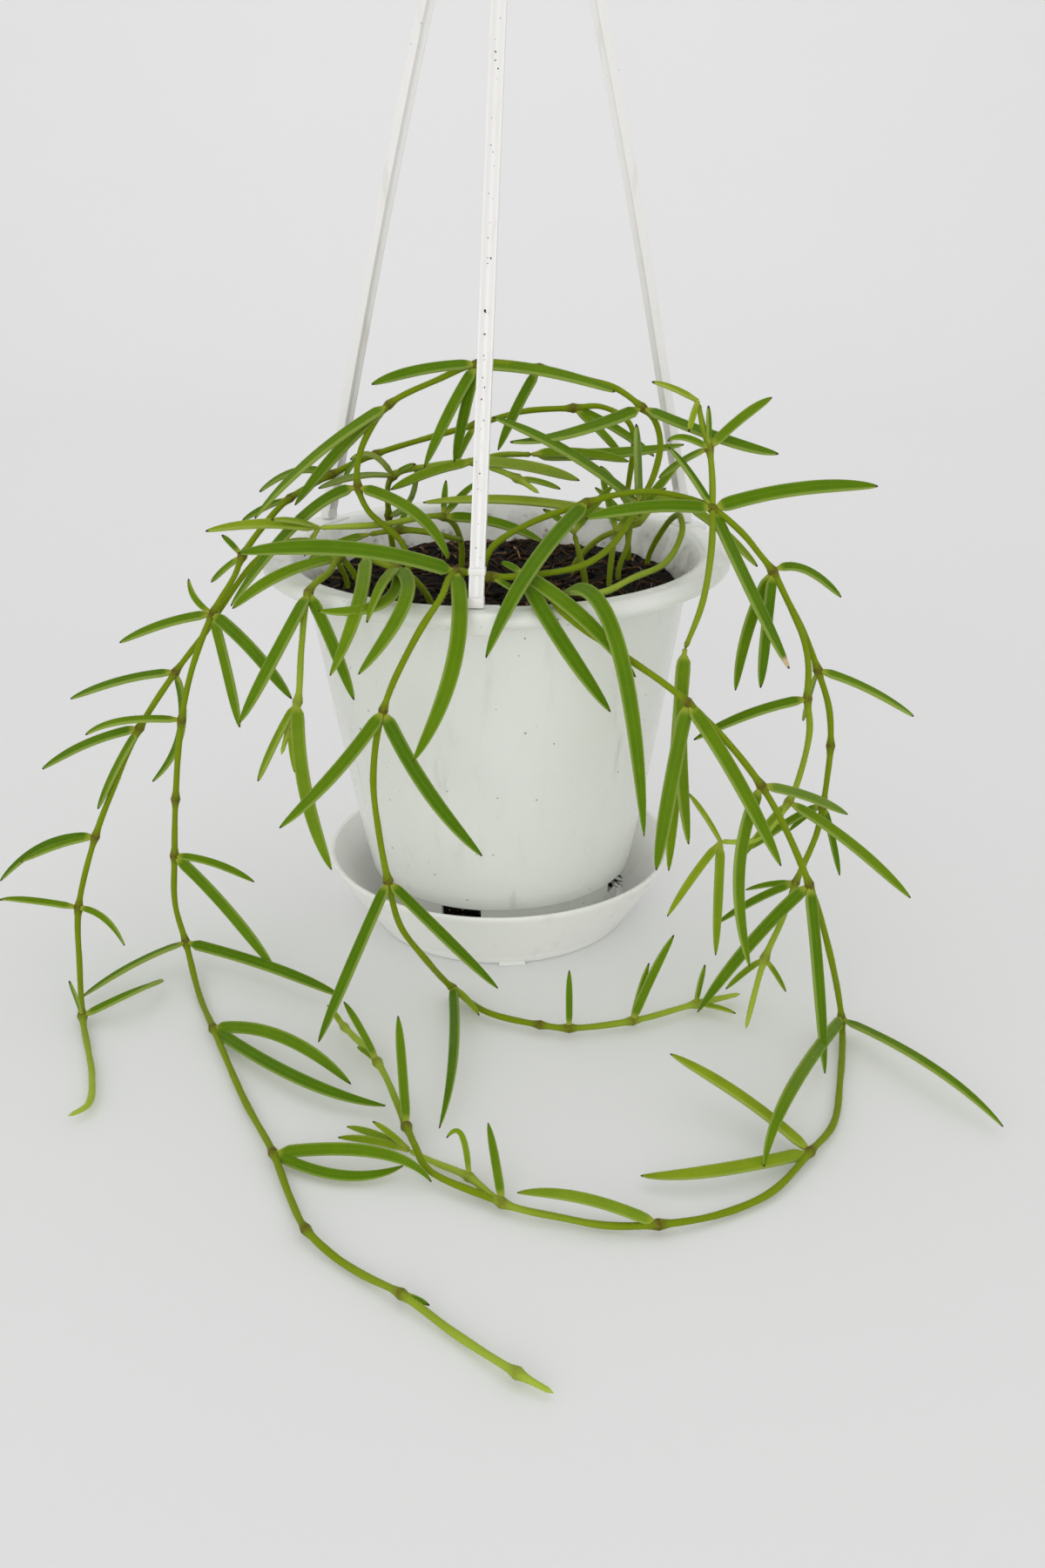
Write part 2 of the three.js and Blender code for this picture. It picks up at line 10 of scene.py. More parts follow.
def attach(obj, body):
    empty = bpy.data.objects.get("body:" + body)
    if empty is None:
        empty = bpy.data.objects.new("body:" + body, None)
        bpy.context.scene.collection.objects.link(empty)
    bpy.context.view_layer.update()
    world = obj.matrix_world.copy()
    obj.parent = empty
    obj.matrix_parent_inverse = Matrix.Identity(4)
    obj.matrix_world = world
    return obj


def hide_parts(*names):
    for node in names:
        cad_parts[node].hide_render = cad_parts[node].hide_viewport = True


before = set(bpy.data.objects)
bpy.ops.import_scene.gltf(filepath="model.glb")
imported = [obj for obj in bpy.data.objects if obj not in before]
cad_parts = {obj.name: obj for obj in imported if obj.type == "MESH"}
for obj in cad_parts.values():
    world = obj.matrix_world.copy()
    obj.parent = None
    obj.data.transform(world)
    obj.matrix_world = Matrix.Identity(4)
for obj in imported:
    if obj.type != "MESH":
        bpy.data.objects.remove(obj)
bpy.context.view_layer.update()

# Hoya linearis in a white plastic hanging pot on its saucer. Lists are in millimetres, as on the plan.
mm = 0.001
body = "root"

photoView = {
    "place": (0.008, -0.5053, 0.2615), "pitch": 67.01, "roll": -0.373, "lens": 35.54, "sensor": 36.0,
}


def makeCamera(view):
    data = bpy.data.cameras.new("camera")
    data.lens = view["lens"]
    data.sensor_width = view["sensor"]
    camera = bpy.data.objects.new("camera", data)
    bpy.context.collection.objects.link(camera)
    pitch = Matrix.Rotation(math.radians(view["pitch"]), 4, "X")
    roll = Matrix.Rotation(math.radians(view["roll"]), 4, "Z")
    camera.matrix_world = Matrix.Translation(view["place"]) @ (pitch @ roll)
    bpy.context.scene.camera = camera


makeCamera(photoView)
print("camera set")


# node helpers, for geometry and shaders alike
def put(tree, kind, inputs=None, **settings):
    node = tree.nodes.new(kind)
    for key, value in settings.items():
        setattr(node, key, value)
    for key, value in (inputs or {}).items():
        if isinstance(value, bpy.types.NodeSocket):
            tree.links.new(value, node.inputs[key])
        else:
            node.inputs[key].default_value = value
    return node


def maths(tree, operation, first, second=0.0, third=0.0):
    return put(tree, "ShaderNodeMath", {0: first, 1: second, 2: third}, operation=operation).outputs[0]


def smoothStep(tree, value, low, high):
    node = put(tree, "ShaderNodeMapRange", {"Value": value, "From Min": low, "From Max": high},
               interpolation_type="SMOOTHSTEP")
    return node.outputs["Result"]


def blendColour(tree, factor, first, second, kind="MIX"):
    node = put(tree, "ShaderNodeMix", {0: factor, 6: first, 7: second}, data_type="RGBA", blend_type=kind)
    return node.outputs[2]


def newTree(name, kind, inputs, outputs):
    tree = bpy.data.node_groups.new(name, kind)
    for label, socketType, value in inputs:
        socket = tree.interface.new_socket(label, in_out="INPUT", socket_type=socketType)
        if value is not None:
            socket.default_value = value
    for label, socketType in outputs:
        tree.interface.new_socket(label, in_out="OUTPUT", socket_type=socketType)
    return tree, tree.nodes.new("NodeGroupInput").outputs, tree.nodes.new("NodeGroupOutput").inputs


# the floor and the light
stageLook = {
    "width": 4.0, "front": -1.6, "bendStart": 1.0, "bend": 0.7, "bendSteps": 12, "height": 2.4,
    "paper": ((241, 242, 242), (244, 244, 244)),
}
lightLook = {
    "world": {"colour": (1.0, 0.998, 0.992), "strength": 0.73},
    "front": {"place": (-0.4, -1.9, 0.5), "aim": (0.0, 0.0, 0.15), "size": 1.5, "power": 5.5},
    "low": {"place": (-0.1, -1.2, 0.3), "aim": (0.0, 0.0, 0.02), "size": 0.8, "power": 1.5},
    "behind": {"place": (0.0, 0.75, 1.5), "aim": (0.0, 1.7, 0.7), "size": 1.2, "power": 2.2},
}


def tint(red, green, blue):
    shares = [channel / 255 for channel in (red, green, blue)]
    linear = [s / 12.92 if s <= 0.04045 else ((s + 0.055) / 1.055) ** 2.4 for s in shares]
    return (*linear, 1.0)


def newMaterial(name, constants):
    material = bpy.data.materials.new(name)
    material.use_nodes = True
    tree = material.node_tree
    shader = tree.nodes["Principled BSDF"]
    for socket, value in constants.items():
        shader.inputs[socket].default_value = value
    return material, tree, shader


def objectPlace(tree):
    return put(tree, "ShaderNodeTexCoord").outputs["Object"]


def attribute(tree, name, output="Fac"):
    return put(tree, "ShaderNodeAttribute", attribute_name=name).outputs[output]


def makeSweep(look):
    half = look["width"] / 2
    profile = [(look["front"], 0.0), (look["bendStart"], 0.0)]
    for k in range(1, look["bendSteps"] + 1):
        turn = math.radians(90 * k / look["bendSteps"])
        along = look["bendStart"] + look["bend"] * math.sin(turn)
        profile.append((along, look["bend"] * (1 - math.cos(turn))))
    profile.append((look["bendStart"] + look["bend"], look["height"]))
    vertices = [(x, y, z) for y, z in profile for x in (-half, half)]
    faces = [(2 * k, 2 * k + 1, 2 * k + 3, 2 * k + 2) for k in range(len(profile) - 1)]
    mesh = bpy.data.meshes.new("sweep")
    mesh.from_pydata(vertices, [], faces)
    mesh.shade_smooth()
    sweep = bpy.data.objects.new("sweep", mesh)
    bpy.context.collection.objects.link(sweep)
    material, tree, shader = newMaterial("paperSweep", {"Roughness": 0.7, "Specular IOR Level": 0.25})
    cloud = put(tree, "ShaderNodeTexNoise", {"Vector": objectPlace(tree), "Scale": 5.0, "Detail": 3.0})
    dark, light = look["paper"]
    colour = blendColour(tree, cloud.outputs[0], tint(*dark), tint(*light))
    tree.links.new(colour, shader.inputs["Base Color"])
    mesh.materials.append(material)


def makeLight(name, look):
    data = bpy.data.lights.new(name, "AREA")
    data.shape = "DISK"
    data.size = look["size"]
    data.energy = look["power"]
    light = bpy.data.objects.new(name, data)
    bpy.context.collection.objects.link(light)
    light.location = look["place"]
    towards = Vector(look["aim"]) - Vector(look["place"])
    light.rotation_euler = towards.to_track_quat("-Z", "Y").to_euler()


def makeWorld(look):
    world = bpy.data.worlds.new("world")
    bpy.context.scene.world = world
    world.use_nodes = True
    background = world.node_tree.nodes["Background"]
    background.inputs["Color"].default_value = (*look["colour"], 1.0)
    background.inputs["Strength"].default_value = look["strength"]


makeSweep(stageLook)
makeWorld(lightLook["world"])
for lightName in ("front", "low", "behind"):
    makeLight(lightName, lightLook[lightName])
bpy.context.scene.view_settings.view_transform = "Standard"
print("stage and lights set")


# shader groups that several materials share
def specksGroup():
    tree, given, result = newTree("specks", "ShaderNodeTree", [
        ("Place", "NodeSocketVector", None), ("Scale", "NodeSocketFloat", 300.0),
        ("Size", "NodeSocketFloat", 0.1), ("Share", "NodeSocketFloat", 0.1),
    ], [("Mask", "NodeSocketFloat")])
    cells = put(tree, "ShaderNodeTexVoronoi", {"Vector": given["Place"], "Scale": given["Scale"]})
    draw = put(tree, "ShaderNodeSeparateColor", {0: cells.outputs["Color"]})
    chosen = maths(tree, "LESS_THAN", draw.outputs[0], given["Share"])
    reach = maths(tree, "MULTIPLY", given["Size"], maths(tree, "ADD", draw.outputs[1], 0.4))
    inside = maths(tree, "LESS_THAN", cells.outputs["Distance"], reach)
    shade = maths(tree, "MULTIPLY_ADD", draw.outputs[2], 0.8, 0.2)
    tree.links.new(maths(tree, "MULTIPLY", maths(tree, "MULTIPLY", chosen, inside), shade), result["Mask"])
    return tree


def mottleGroup():
    tree, given, result = newTree("mottle", "ShaderNodeTree", [
        ("Place", "NodeSocketVector", None), ("Scale", "NodeSocketFloat", 60.0),
        ("Detail", "NodeSocketFloat", 4.0), ("Low", "NodeSocketFloat", 0.35),
        ("High", "NodeSocketFloat", 0.65),
    ], [("Value", "NodeSocketFloat")])
    cloud = put(tree, "ShaderNodeTexNoise", {
        "Vector": given["Place"], "Scale": given["Scale"], "Detail": given["Detail"],
    })
    spread = smoothStep(tree, cloud.outputs[0], given["Low"], given["High"])
    tree.links.new(spread, result["Value"])
    return tree


specks = specksGroup()
mottle = mottleGroup()


def placed(tree, group, values):
    node = tree.nodes.new("ShaderNodeGroup")
    node.node_tree = group
    for label, value in values.items():
        if isinstance(value, bpy.types.NodeSocket):
            tree.links.new(value, node.inputs[label])
        else:
            node.inputs[label].default_value = value
    return node.outputs[0]


def stretched(tree, place, scale, turn=(0.0, 0.0, 0.0)):
    return put(tree, "ShaderNodeMapping", {"Vector": place, "Scale": scale, "Rotation": turn}).outputs[0]


def addBump(tree, shader, height, distance, strength=1.0):
    bump = put(tree, "ShaderNodeBump", {"Height": height, "Distance": distance, "Strength": strength})
    tree.links.new(bump.outputs[0], shader.inputs["Normal"])


plasticLook = {
    "pot": {"colour": tint(236, 238, 233), "worn": tint(210, 212, 205), "speckScale": 560.0,
            "speckSize": 0.19, "speckShare": 0.045, "roughness": 0.24},
    "saucer": {"colour": tint(244, 245, 241), "worn": tint(232, 233, 226), "speckScale": 260.0,
               "speckSize": 0.14, "speckShare": 0.004, "roughness": 0.34},
    "hanger": {"colour": tint(243, 242, 240), "worn": tint(222, 220, 214), "speckScale": 900.0,
               "speckSize": 0.22, "speckShare": 0.012, "roughness": 0.3},
}
dirtBrown = tint(60, 48, 38)


def makePlastic(name, look, soiledInside=False):
    material, tree, shader = newMaterial(name, {"IOR": 1.49, "Subsurface Weight": 0.08,
                                                "Subsurface Scale": 0.002})
    place = objectPlace(tree)
    cloud = placed(tree, mottle, {"Place": place, "Scale": 28.0})
    streaks = placed(tree, mottle, {"Place": stretched(tree, place, (1.0, 1.0, 0.12)), "Scale": 220.0,
                                    "Low": 0.56, "High": 0.72})
    worn = maths(tree, "MULTIPLY", streaks, maths(tree, "MULTIPLY_ADD", cloud, 0.5, 0.2))
    colour = blendColour(tree, worn, look["colour"], look["worn"])
    dots = placed(tree, specks, {"Place": place, "Scale": look["speckScale"], "Size": look["speckSize"],
                                 "Share": look["speckShare"]})
    if soiledInside:
        grime = placed(tree, specks, {"Place": place, "Scale": 420.0, "Size": 0.42, "Share": 0.45})
        patch = placed(tree, mottle, {"Place": place, "Scale": 90.0, "Low": 0.42, "High": 0.6})
        soiled = attribute(tree, "inside")
        smear = maths(tree, "MULTIPLY", soiled, maths(tree, "MULTIPLY", patch, 0.4))
        colour = blendColour(tree, smear, colour, tint(120, 110, 98))
        grime = maths(tree, "MULTIPLY", maths(tree, "MULTIPLY", grime, patch), soiled)
        dots = maths(tree, "MAXIMUM", dots, grime)
    colour = blendColour(tree, maths(tree, "MULTIPLY", dots, 0.85), colour, dirtBrown)
    tree.links.new(colour, shader.inputs["Base Color"])
    rough = maths(tree, "MULTIPLY_ADD", worn, 0.25, look["roughness"])
    rough = maths(tree, "MULTIPLY_ADD", dots, 0.3, rough)
    tree.links.new(rough, shader.inputs["Roughness"])
    addBump(tree, shader, placed(tree, mottle, {"Place": place, "Scale": 160.0}), 0.00004, 0.6)
    return material


# the pale leaf rim colour is partly the real pale hairy margin and partly painted light: a painted highlight
# and translucent glow along the leaf edge
foliageLook = {
    "leafTop": tint(80, 118, 0), "leafUnder": tint(120, 146, 26), "youngTop": tint(130, 156, 30),
    "youngUnder": tint(146, 168, 50), "dusty": tint(126, 148, 78), "rib": tint(126, 152, 30),
    "fuzzyRimAndPaintedRimLight": tint(176, 192, 104), "tip": tint(66, 36, 30), "petiole": tint(156, 168, 56),
    "stem": tint(122, 144, 8), "youngStem": tint(176, 200, 72), "joint": tint(96, 80, 30),
    "dry": tint(212, 186, 150), "hair": tint(150, 166, 70),
}


def makeLeafMaterial(look):
    material, tree, shader = newMaterial("hoyaLeaf", {
        "Roughness": 0.5, "Specular IOR Level": 0.09, "Sheen Weight": 0.01, "Sheen Roughness": 0.5,
        "Subsurface Weight": 0.1, "Subsurface Scale": 0.0012, "Subsurface Radius": (0.5, 1.0, 0.1),
    })
    place = objectPlace(tree)
    across = maths(tree, "ABSOLUTE", attribute(tree, "across"))
    top = smoothStep(tree, attribute(tree, "rise"), -0.12, 0.12)
    young = attribute(tree, "young")
    mature = blendColour(tree, top, look["leafUnder"], look["leafTop"])
    fresh = blendColour(tree, top, look["youngUnder"], look["youngTop"])
    colour = blendColour(tree, young, mature, fresh)
    colour = blendColour(tree, attribute(tree, "dust"), colour, look["dusty"])
    warm = blendColour(tree, 1.0, colour, (1.4, 1.22, 0.9, 1.0), "MULTIPLY")
    colour = blendColour(tree, attribute(tree, "tone"), colour, warm)
    patches = placed(tree, mottle, {"Place": place, "Scale": 140.0, "Low": 0.3, "High": 0.7})
    darker = blendColour(tree, 1.0, colour, (0.74, 0.8, 0.7, 1.0), "MULTIPLY")
    colour = blendColour(tree, maths(tree, "MULTIPLY", patches, 0.55), colour, darker)
    ribMask = smoothStep(tree, across, 0.2, 0.02)
    colour = blendColour(tree, maths(tree, "MULTIPLY", ribMask, 0.22), colour, look["rib"])
    # pale rim towards the leaf edge: partly the real fine pale hairs of the margin, partly a painted
    # highlight and painted translucent glow along the edge
    fuzzyRimAndPaintedLightMask = smoothStep(tree, across, 0.6, 1.0)
    colour = blendColour(tree, maths(tree, "MULTIPLY", fuzzyRimAndPaintedLightMask, 0.5), colour, look["fuzzyRimAndPaintedRimLight"])
    fromFoot = attribute(tree, "fromFoot")
    footMask = smoothStep(tree, fromFoot, 4.2, 1.6)
    colour = blendColour(tree, footMask, colour, look["petiole"])
    fromTip = attribute(tree, "fromTip")
    dryMask = maths(tree, "MULTIPLY", smoothStep(tree, fromTip, 4.5, 2.5), attribute(tree, "dry"))
    colour = blendColour(tree, dryMask, colour, look["dry"])
    colour = blendColour(tree, smoothStep(tree, fromTip, 1.2, 0.3), colour, look["tip"])
    tree.links.new(colour, shader.inputs["Base Color"])
    pores = placed(tree, mottle, {"Place": place, "Scale": 1500.0, "Detail": 2.0})
    addBump(tree, shader, pores, 0.00006, 0.5)
    return material


def makeStemMaterial(look):
    material, tree, shader = newMaterial("hoyaStem", {
        "Roughness": 0.55, "Specular IOR Level": 0.09, "Sheen Weight": 0.02, "Sheen Roughness": 0.5,
        "Subsurface Weight": 0.08, "Subsurface Scale": 0.001,
    })
    place = objectPlace(tree)
    young = attribute(tree, "young")
    colour = blendColour(tree, young, look["stem"], look["youngStem"])
    patches = placed(tree, mottle, {"Place": place, "Scale": 90.0})
    browner = blendColour(tree, 1.0, colour, (0.85, 0.78, 0.8, 1.0), "MULTIPLY")
    colour = blendColour(tree, maths(tree, "MULTIPLY", patches, 0.35), colour, browner)
    bark = placed(tree, mottle, {"Place": place, "Scale": 900.0, "Low": 0.3, "High": 0.6})
    rough = maths(tree, "MULTIPLY_ADD", bark, 0.5, 0.5)
    jointMask = maths(tree, "MULTIPLY", attribute(tree, "joint"), rough)
    jointMask = maths(tree, "MULTIPLY", jointMask, maths(tree, "MULTIPLY_ADD", young, -0.75, 1.0))
    colour = blendColour(tree, jointMask, colour, look["joint"])
    tree.links.new(colour, shader.inputs["Base Color"])
    addBump(tree, shader, placed(tree, mottle, {"Place": place, "Scale": 1200.0}), 0.00008, 0.6)
    return material


def makeHairMaterial(look):
    material, tree, shader = newMaterial("fineHair", {"Roughness": 0.7, "Specular IOR Level": 0.2})
    cloud = placed(tree, mottle, {"Place": objectPlace(tree), "Scale": 300.0})
    colour = blendColour(tree, cloud, look["hair"], tint(186, 198, 128))
    tree.links.new(colour, shader.inputs["Base Color"])
    return material


peatLook = {
    "black": tint(24, 19, 15), "brown": tint(104, 76, 50), "straw": tint(168, 134, 98),
}


def makePeatMaterial(look):
    material, tree, shader = newMaterial("peat", {"Roughness": 0.92, "Specular IOR Level": 0.2})
    place = objectPlace(tree)
    tone = attribute(tree, "tone")
    colour = blendColour(tree, smoothStep(tree, tone, 0.45, 0.95), look["black"], look["brown"])
    colour = blendColour(tree, smoothStep(tree, tone, 0.93, 1.0), colour, look["straw"])
    grain = placed(tree, mottle, {"Place": place, "Scale": 520.0, "Detail": 6.0})
    darker = blendColour(tree, 1.0, colour, (0.45, 0.42, 0.4, 1.0), "MULTIPLY")
    colour = blendColour(tree, grain, colour, darker)
    tree.links.new(colour, shader.inputs["Base Color"])
    addBump(tree, shader, grain, 0.0006)
    return material


materials = {
    "pot": makePlastic("potPlastic", plasticLook["pot"], soiledInside=True),
    "saucer": makePlastic("saucerPlastic", plasticLook["saucer"]),
    "hanger": makePlastic("hangerPlastic", plasticLook["hanger"]),
    "leaf": makeLeafMaterial(foliageLook),
    "stem": makeStemMaterial(foliageLook),
    "hair": makeHairMaterial(foliageLook),
    "peat": makePeatMaterial(peatLook),
}
print("materials made:", len(materials))


# geometry groups for the foliage
leafSection = {"sides": 20, "top": 0.86, "underneath": 0.92, "groove": 0.3, "grooveWidth": 0.2,
               "underGroove": 0.2, "underAt": 0.42, "underWidth": 0.16}
stemSection = {"sides": 12}
hairShape = {"sides": 3, "tilt": 0.7, "sizes": (0.55, 1.25)}


def named(tree, name, kind="FLOAT"):
    return put(tree, "GeometryNodeInputNamedAttribute", {"Name": name}, data_type=kind).outputs["Attribute"]


def store(tree, geometry, name, value, kind="FLOAT", domain="POINT"):
    node = put(tree, "GeometryNodeStoreNamedAttribute", {"Geometry": geometry, "Name": name, "Value": value},
               data_type=kind, domain=domain)
    return node.outputs[0]


def bell(tree, value, middle, width):
    away = maths(tree, "DIVIDE", maths(tree, "SUBTRACT", value, middle), width)
    return maths(tree, "EXPONENT", maths(tree, "MULTIPLY", maths(tree, "MULTIPLY", away, away), -1.0))


# a blade along each route: flat across its face, then raised to a grooved upper and a rounded lower side
def leafTree(section):
    tree, given, result = newTree("leafBlade", "GeometryNodeTree", [
        ("Routes", "NodeSocketGeometry", None), ("Leaf", "NodeSocketMaterial", None),
    ], [("Blades", "NodeSocketGeometry")])
    curve = put(tree, "GeometryNodeMeshToCurve", {"Mesh": given["Routes"]}).outputs[0]
    curve = put(tree, "GeometryNodeSetCurveNormal",
                {"Curve": curve, "Normal": named(tree, "face", "FLOAT_VECTOR")}, mode="FREE").outputs[0]
    circle = put(tree, "GeometryNodeCurvePrimitiveCircle", {"Resolution": section["sides"], "Radius": 1.0})
    part = put(tree, "ShaderNodeSeparateXYZ", {0: put(tree, "GeometryNodeInputPosition").outputs[0]})
    across = part.outputs[1]
    lift = part.outputs[0]
    over = maths(tree, "POWER", maths(tree, "MAXIMUM", lift, 0.0), 0.6)
    under = maths(tree, "POWER", maths(tree, "MAXIMUM", maths(tree, "MULTIPLY", lift, -1.0), 0.0), 0.75)
    groove = maths(tree, "MULTIPLY", bell(tree, across, 0.0, section["grooveWidth"]), section["groove"])
    side = maths(tree, "ABSOLUTE", across)
    lower = bell(tree, side, section["underAt"], section["underWidth"])
    lower = maths(tree, "MULTIPLY", lower, section["underGroove"])
    topShape = maths(tree, "SUBTRACT", section["top"], groove)
    underShape = maths(tree, "SUBTRACT", section["underneath"], lower)
    rise = maths(tree, "SUBTRACT", maths(tree, "MULTIPLY", over, topShape),
                 maths(tree, "MULTIPLY", under, underShape))
    profile = store(tree, circle.outputs[0], "across", across)
    profile = store(tree, profile, "rise", rise)
    flat = put(tree, "ShaderNodeCombineXYZ", {1: named(tree, "across")}).outputs[0]
    profile = put(tree, "GeometryNodeSetPosition", {"Geometry": profile, "Position": flat}).outputs[0]
    blade = put(tree, "GeometryNodeCurveToMesh", {
        "Curve": curve, "Profile Curve": profile, "Scale": named(tree, "halfWidth"), "Fill Caps": True,
    }).outputs[0]
    height = maths(tree, "MULTIPLY", named(tree, "rise"), named(tree, "halfThick"))
    offset = put(tree, "ShaderNodeVectorMath", {0: named(tree, "face", "FLOAT_VECTOR"), "Scale": height},
                 operation="SCALE").outputs[0]
    blade = put(tree, "GeometryNodeSetPosition", {"Geometry": blade, "Offset": offset}).outputs[0]
    blade = put(tree, "GeometryNodeSetShadeSmooth", {"Geometry": blade}).outputs[0]
    blade = put(tree, "GeometryNodeRealizeInstances", {"Geometry": blade}).outputs[0]
    blade = put(tree, "GeometryNodeSetMaterial", {"Geometry": blade, "Material": given["Leaf"]}).outputs[0]
    tree.links.new(blade, result["Blades"])
    return tree


# a round bar along each route, as thick as the route says
def tubeTree():
    tree, given, result = newTree("tube", "GeometryNodeTree", [
        ("Routes", "NodeSocketGeometry", None), ("Sides", "NodeSocketInt", 12),
        ("Material", "NodeSocketMaterial", None),
    ], [("Tubes", "NodeSocketGeometry")])
    curve = put(tree, "GeometryNodeMeshToCurve", {"Mesh": given["Routes"]}).outputs[0]
    circle = put(tree, "GeometryNodeCurvePrimitiveCircle", {"Resolution": given["Sides"], "Radius": 1.0})
    tube = put(tree, "GeometryNodeCurveToMesh", {
        "Curve": curve, "Profile Curve": circle.outputs[0], "Scale": named(tree, "thick"), "Fill Caps": True,
    }).outputs[0]
    tube = put(tree, "GeometryNodeSetShadeSmooth", {"Geometry": tube}).outputs[0]
    tube = put(tree, "GeometryNodeRealizeInstances", {"Geometry": tube}).outputs[0]
    tube = put(tree, "GeometryNodeSetMaterial", {"Geometry": tube, "Material": given["Material"]}).outputs[0]
    tree.links.new(tube, result["Tubes"])
    return tree


# short fine hairs that stand on a surface, each a slim three-sided cone
def hairTree(shape):
    tree, given, result = newTree("hairs", "GeometryNodeTree", [
        ("Surface", "NodeSocketGeometry", None), ("Density", "NodeSocketFloat", 1.0e6),
        ("Edge Share", "NodeSocketFloat", 0.0), ("Length", "NodeSocketFloat", 0.0005),
        ("Radius", "NodeSocketFloat", 0.00005), ("Seed", "NodeSocketInt", 0),
        ("Hair", "NodeSocketMaterial", None),
    ], [("Result", "NodeSocketGeometry")])
    side = maths(tree, "ABSOLUTE", named(tree, "across"))
    edge = maths(tree, "MULTIPLY", maths(tree, "POWER", side, 3.0), given["Edge Share"])
    density = maths(tree, "MULTIPLY", given["Density"], maths(tree, "ADD", edge, 1.0))
    spots = put(tree, "GeometryNodeDistributePointsOnFaces", {
        "Mesh": given["Surface"], "Density": density, "Seed": given["Seed"],
    })
    cone = put(tree, "GeometryNodeMeshCone", {
        "Vertices": shape["sides"], "Radius Top": 0.0, "Radius Bottom": given["Radius"],
        "Depth": given["Length"],
    }, fill_type="NGON")
    tilt = shape["tilt"]
    lean = put(tree, "FunctionNodeRandomValue", {
        0: (-tilt, -tilt, -3.14), 1: (tilt, tilt, 3.14), "Seed": given["Seed"],
    }, data_type="FLOAT_VECTOR").outputs[0]
    turn = put(tree, "FunctionNodeEulerToRotation", {"Euler": lean}).outputs[0]
    turn = put(tree, "FunctionNodeRotateRotation", {
        "Rotation": spots.outputs["Rotation"], "Rotate By": turn,
    }, rotation_space="LOCAL").outputs[0]
    shortest, longest = shape["sizes"]
    grown = put(tree, "FunctionNodeRandomValue", {2: shortest, 3: longest, "Seed": given["Seed"]},
                data_type="FLOAT")
    hairs = put(tree, "GeometryNodeInstanceOnPoints", {
        "Points": spots.outputs["Points"], "Instance": cone.outputs["Mesh"], "Rotation": turn,
        "Scale": grown.outputs[1],
    }).outputs[0]
    hairs = put(tree, "GeometryNodeRealizeInstances", {"Geometry": hairs}).outputs[0]
    hairs = put(tree, "GeometryNodeSetMaterial", {"Geometry": hairs, "Material": given["Hair"]}).outputs[0]
    whole = put(tree, "GeometryNodeJoinGeometry")
    tree.links.new(hairs, whole.inputs[0])
    tree.links.new(given["Surface"], whole.inputs[0])
    tree.links.new(whole.outputs[0], result["Result"])
    return tree


def giveObject(name, mesh):
    made = bpy.data.objects.new(name, mesh)
    bpy.context.collection.objects.link(made)
    return made


# puts a mesh through a tree and keeps the result as a plain mesh
def bake(obj, tree, values):
    modifier = obj.modifiers.new(tree.name, "NODES")
    modifier.node_group = tree
    for item in tree.interface.items_tree:
        if item.item_type == "SOCKET" and item.in_out == "INPUT" and item.name in values:
            modifier[item.identifier] = values[item.name]
    shown = obj.evaluated_get(bpy.context.evaluated_depsgraph_get())
    mesh = bpy.data.meshes.new_from_object(shown)
    obj.modifiers.remove(modifier)
    old = obj.data
    obj.data = mesh
    mesh.name = obj.name
    bpy.data.meshes.remove(old)


trees = {"leaf": leafTree(leafSection), "tube": tubeTree(), "hair": hairTree(hairShape)}


# a mesh of open routes, each a list of points, with values on every point
def routeMesh(name, routes):
    vertices = []
    edges = []
    values = {}
    for route in routes:
        first = len(vertices)
        vertices.extend(route["points"])
        count = len(route["points"])
        edges.extend((first + k, first + k + 1) for k in range(count - 1))
        for key, numbers in route["values"].items():
            values.setdefault(key, []).extend(numbers)
    mesh = bpy.data.meshes.new(name)
    mesh.from_pydata(vertices, edges, [])
    for key, numbers in values.items():
        vector = key == "face"
        layer = mesh.attributes.new(key, "FLOAT_VECTOR" if vector else "FLOAT", "POINT")
        flat = [float(n) for item in numbers for n in item] if vector else [float(n) for n in numbers]
        layer.data.foreach_set("vector" if vector else "value", flat)
    return mesh


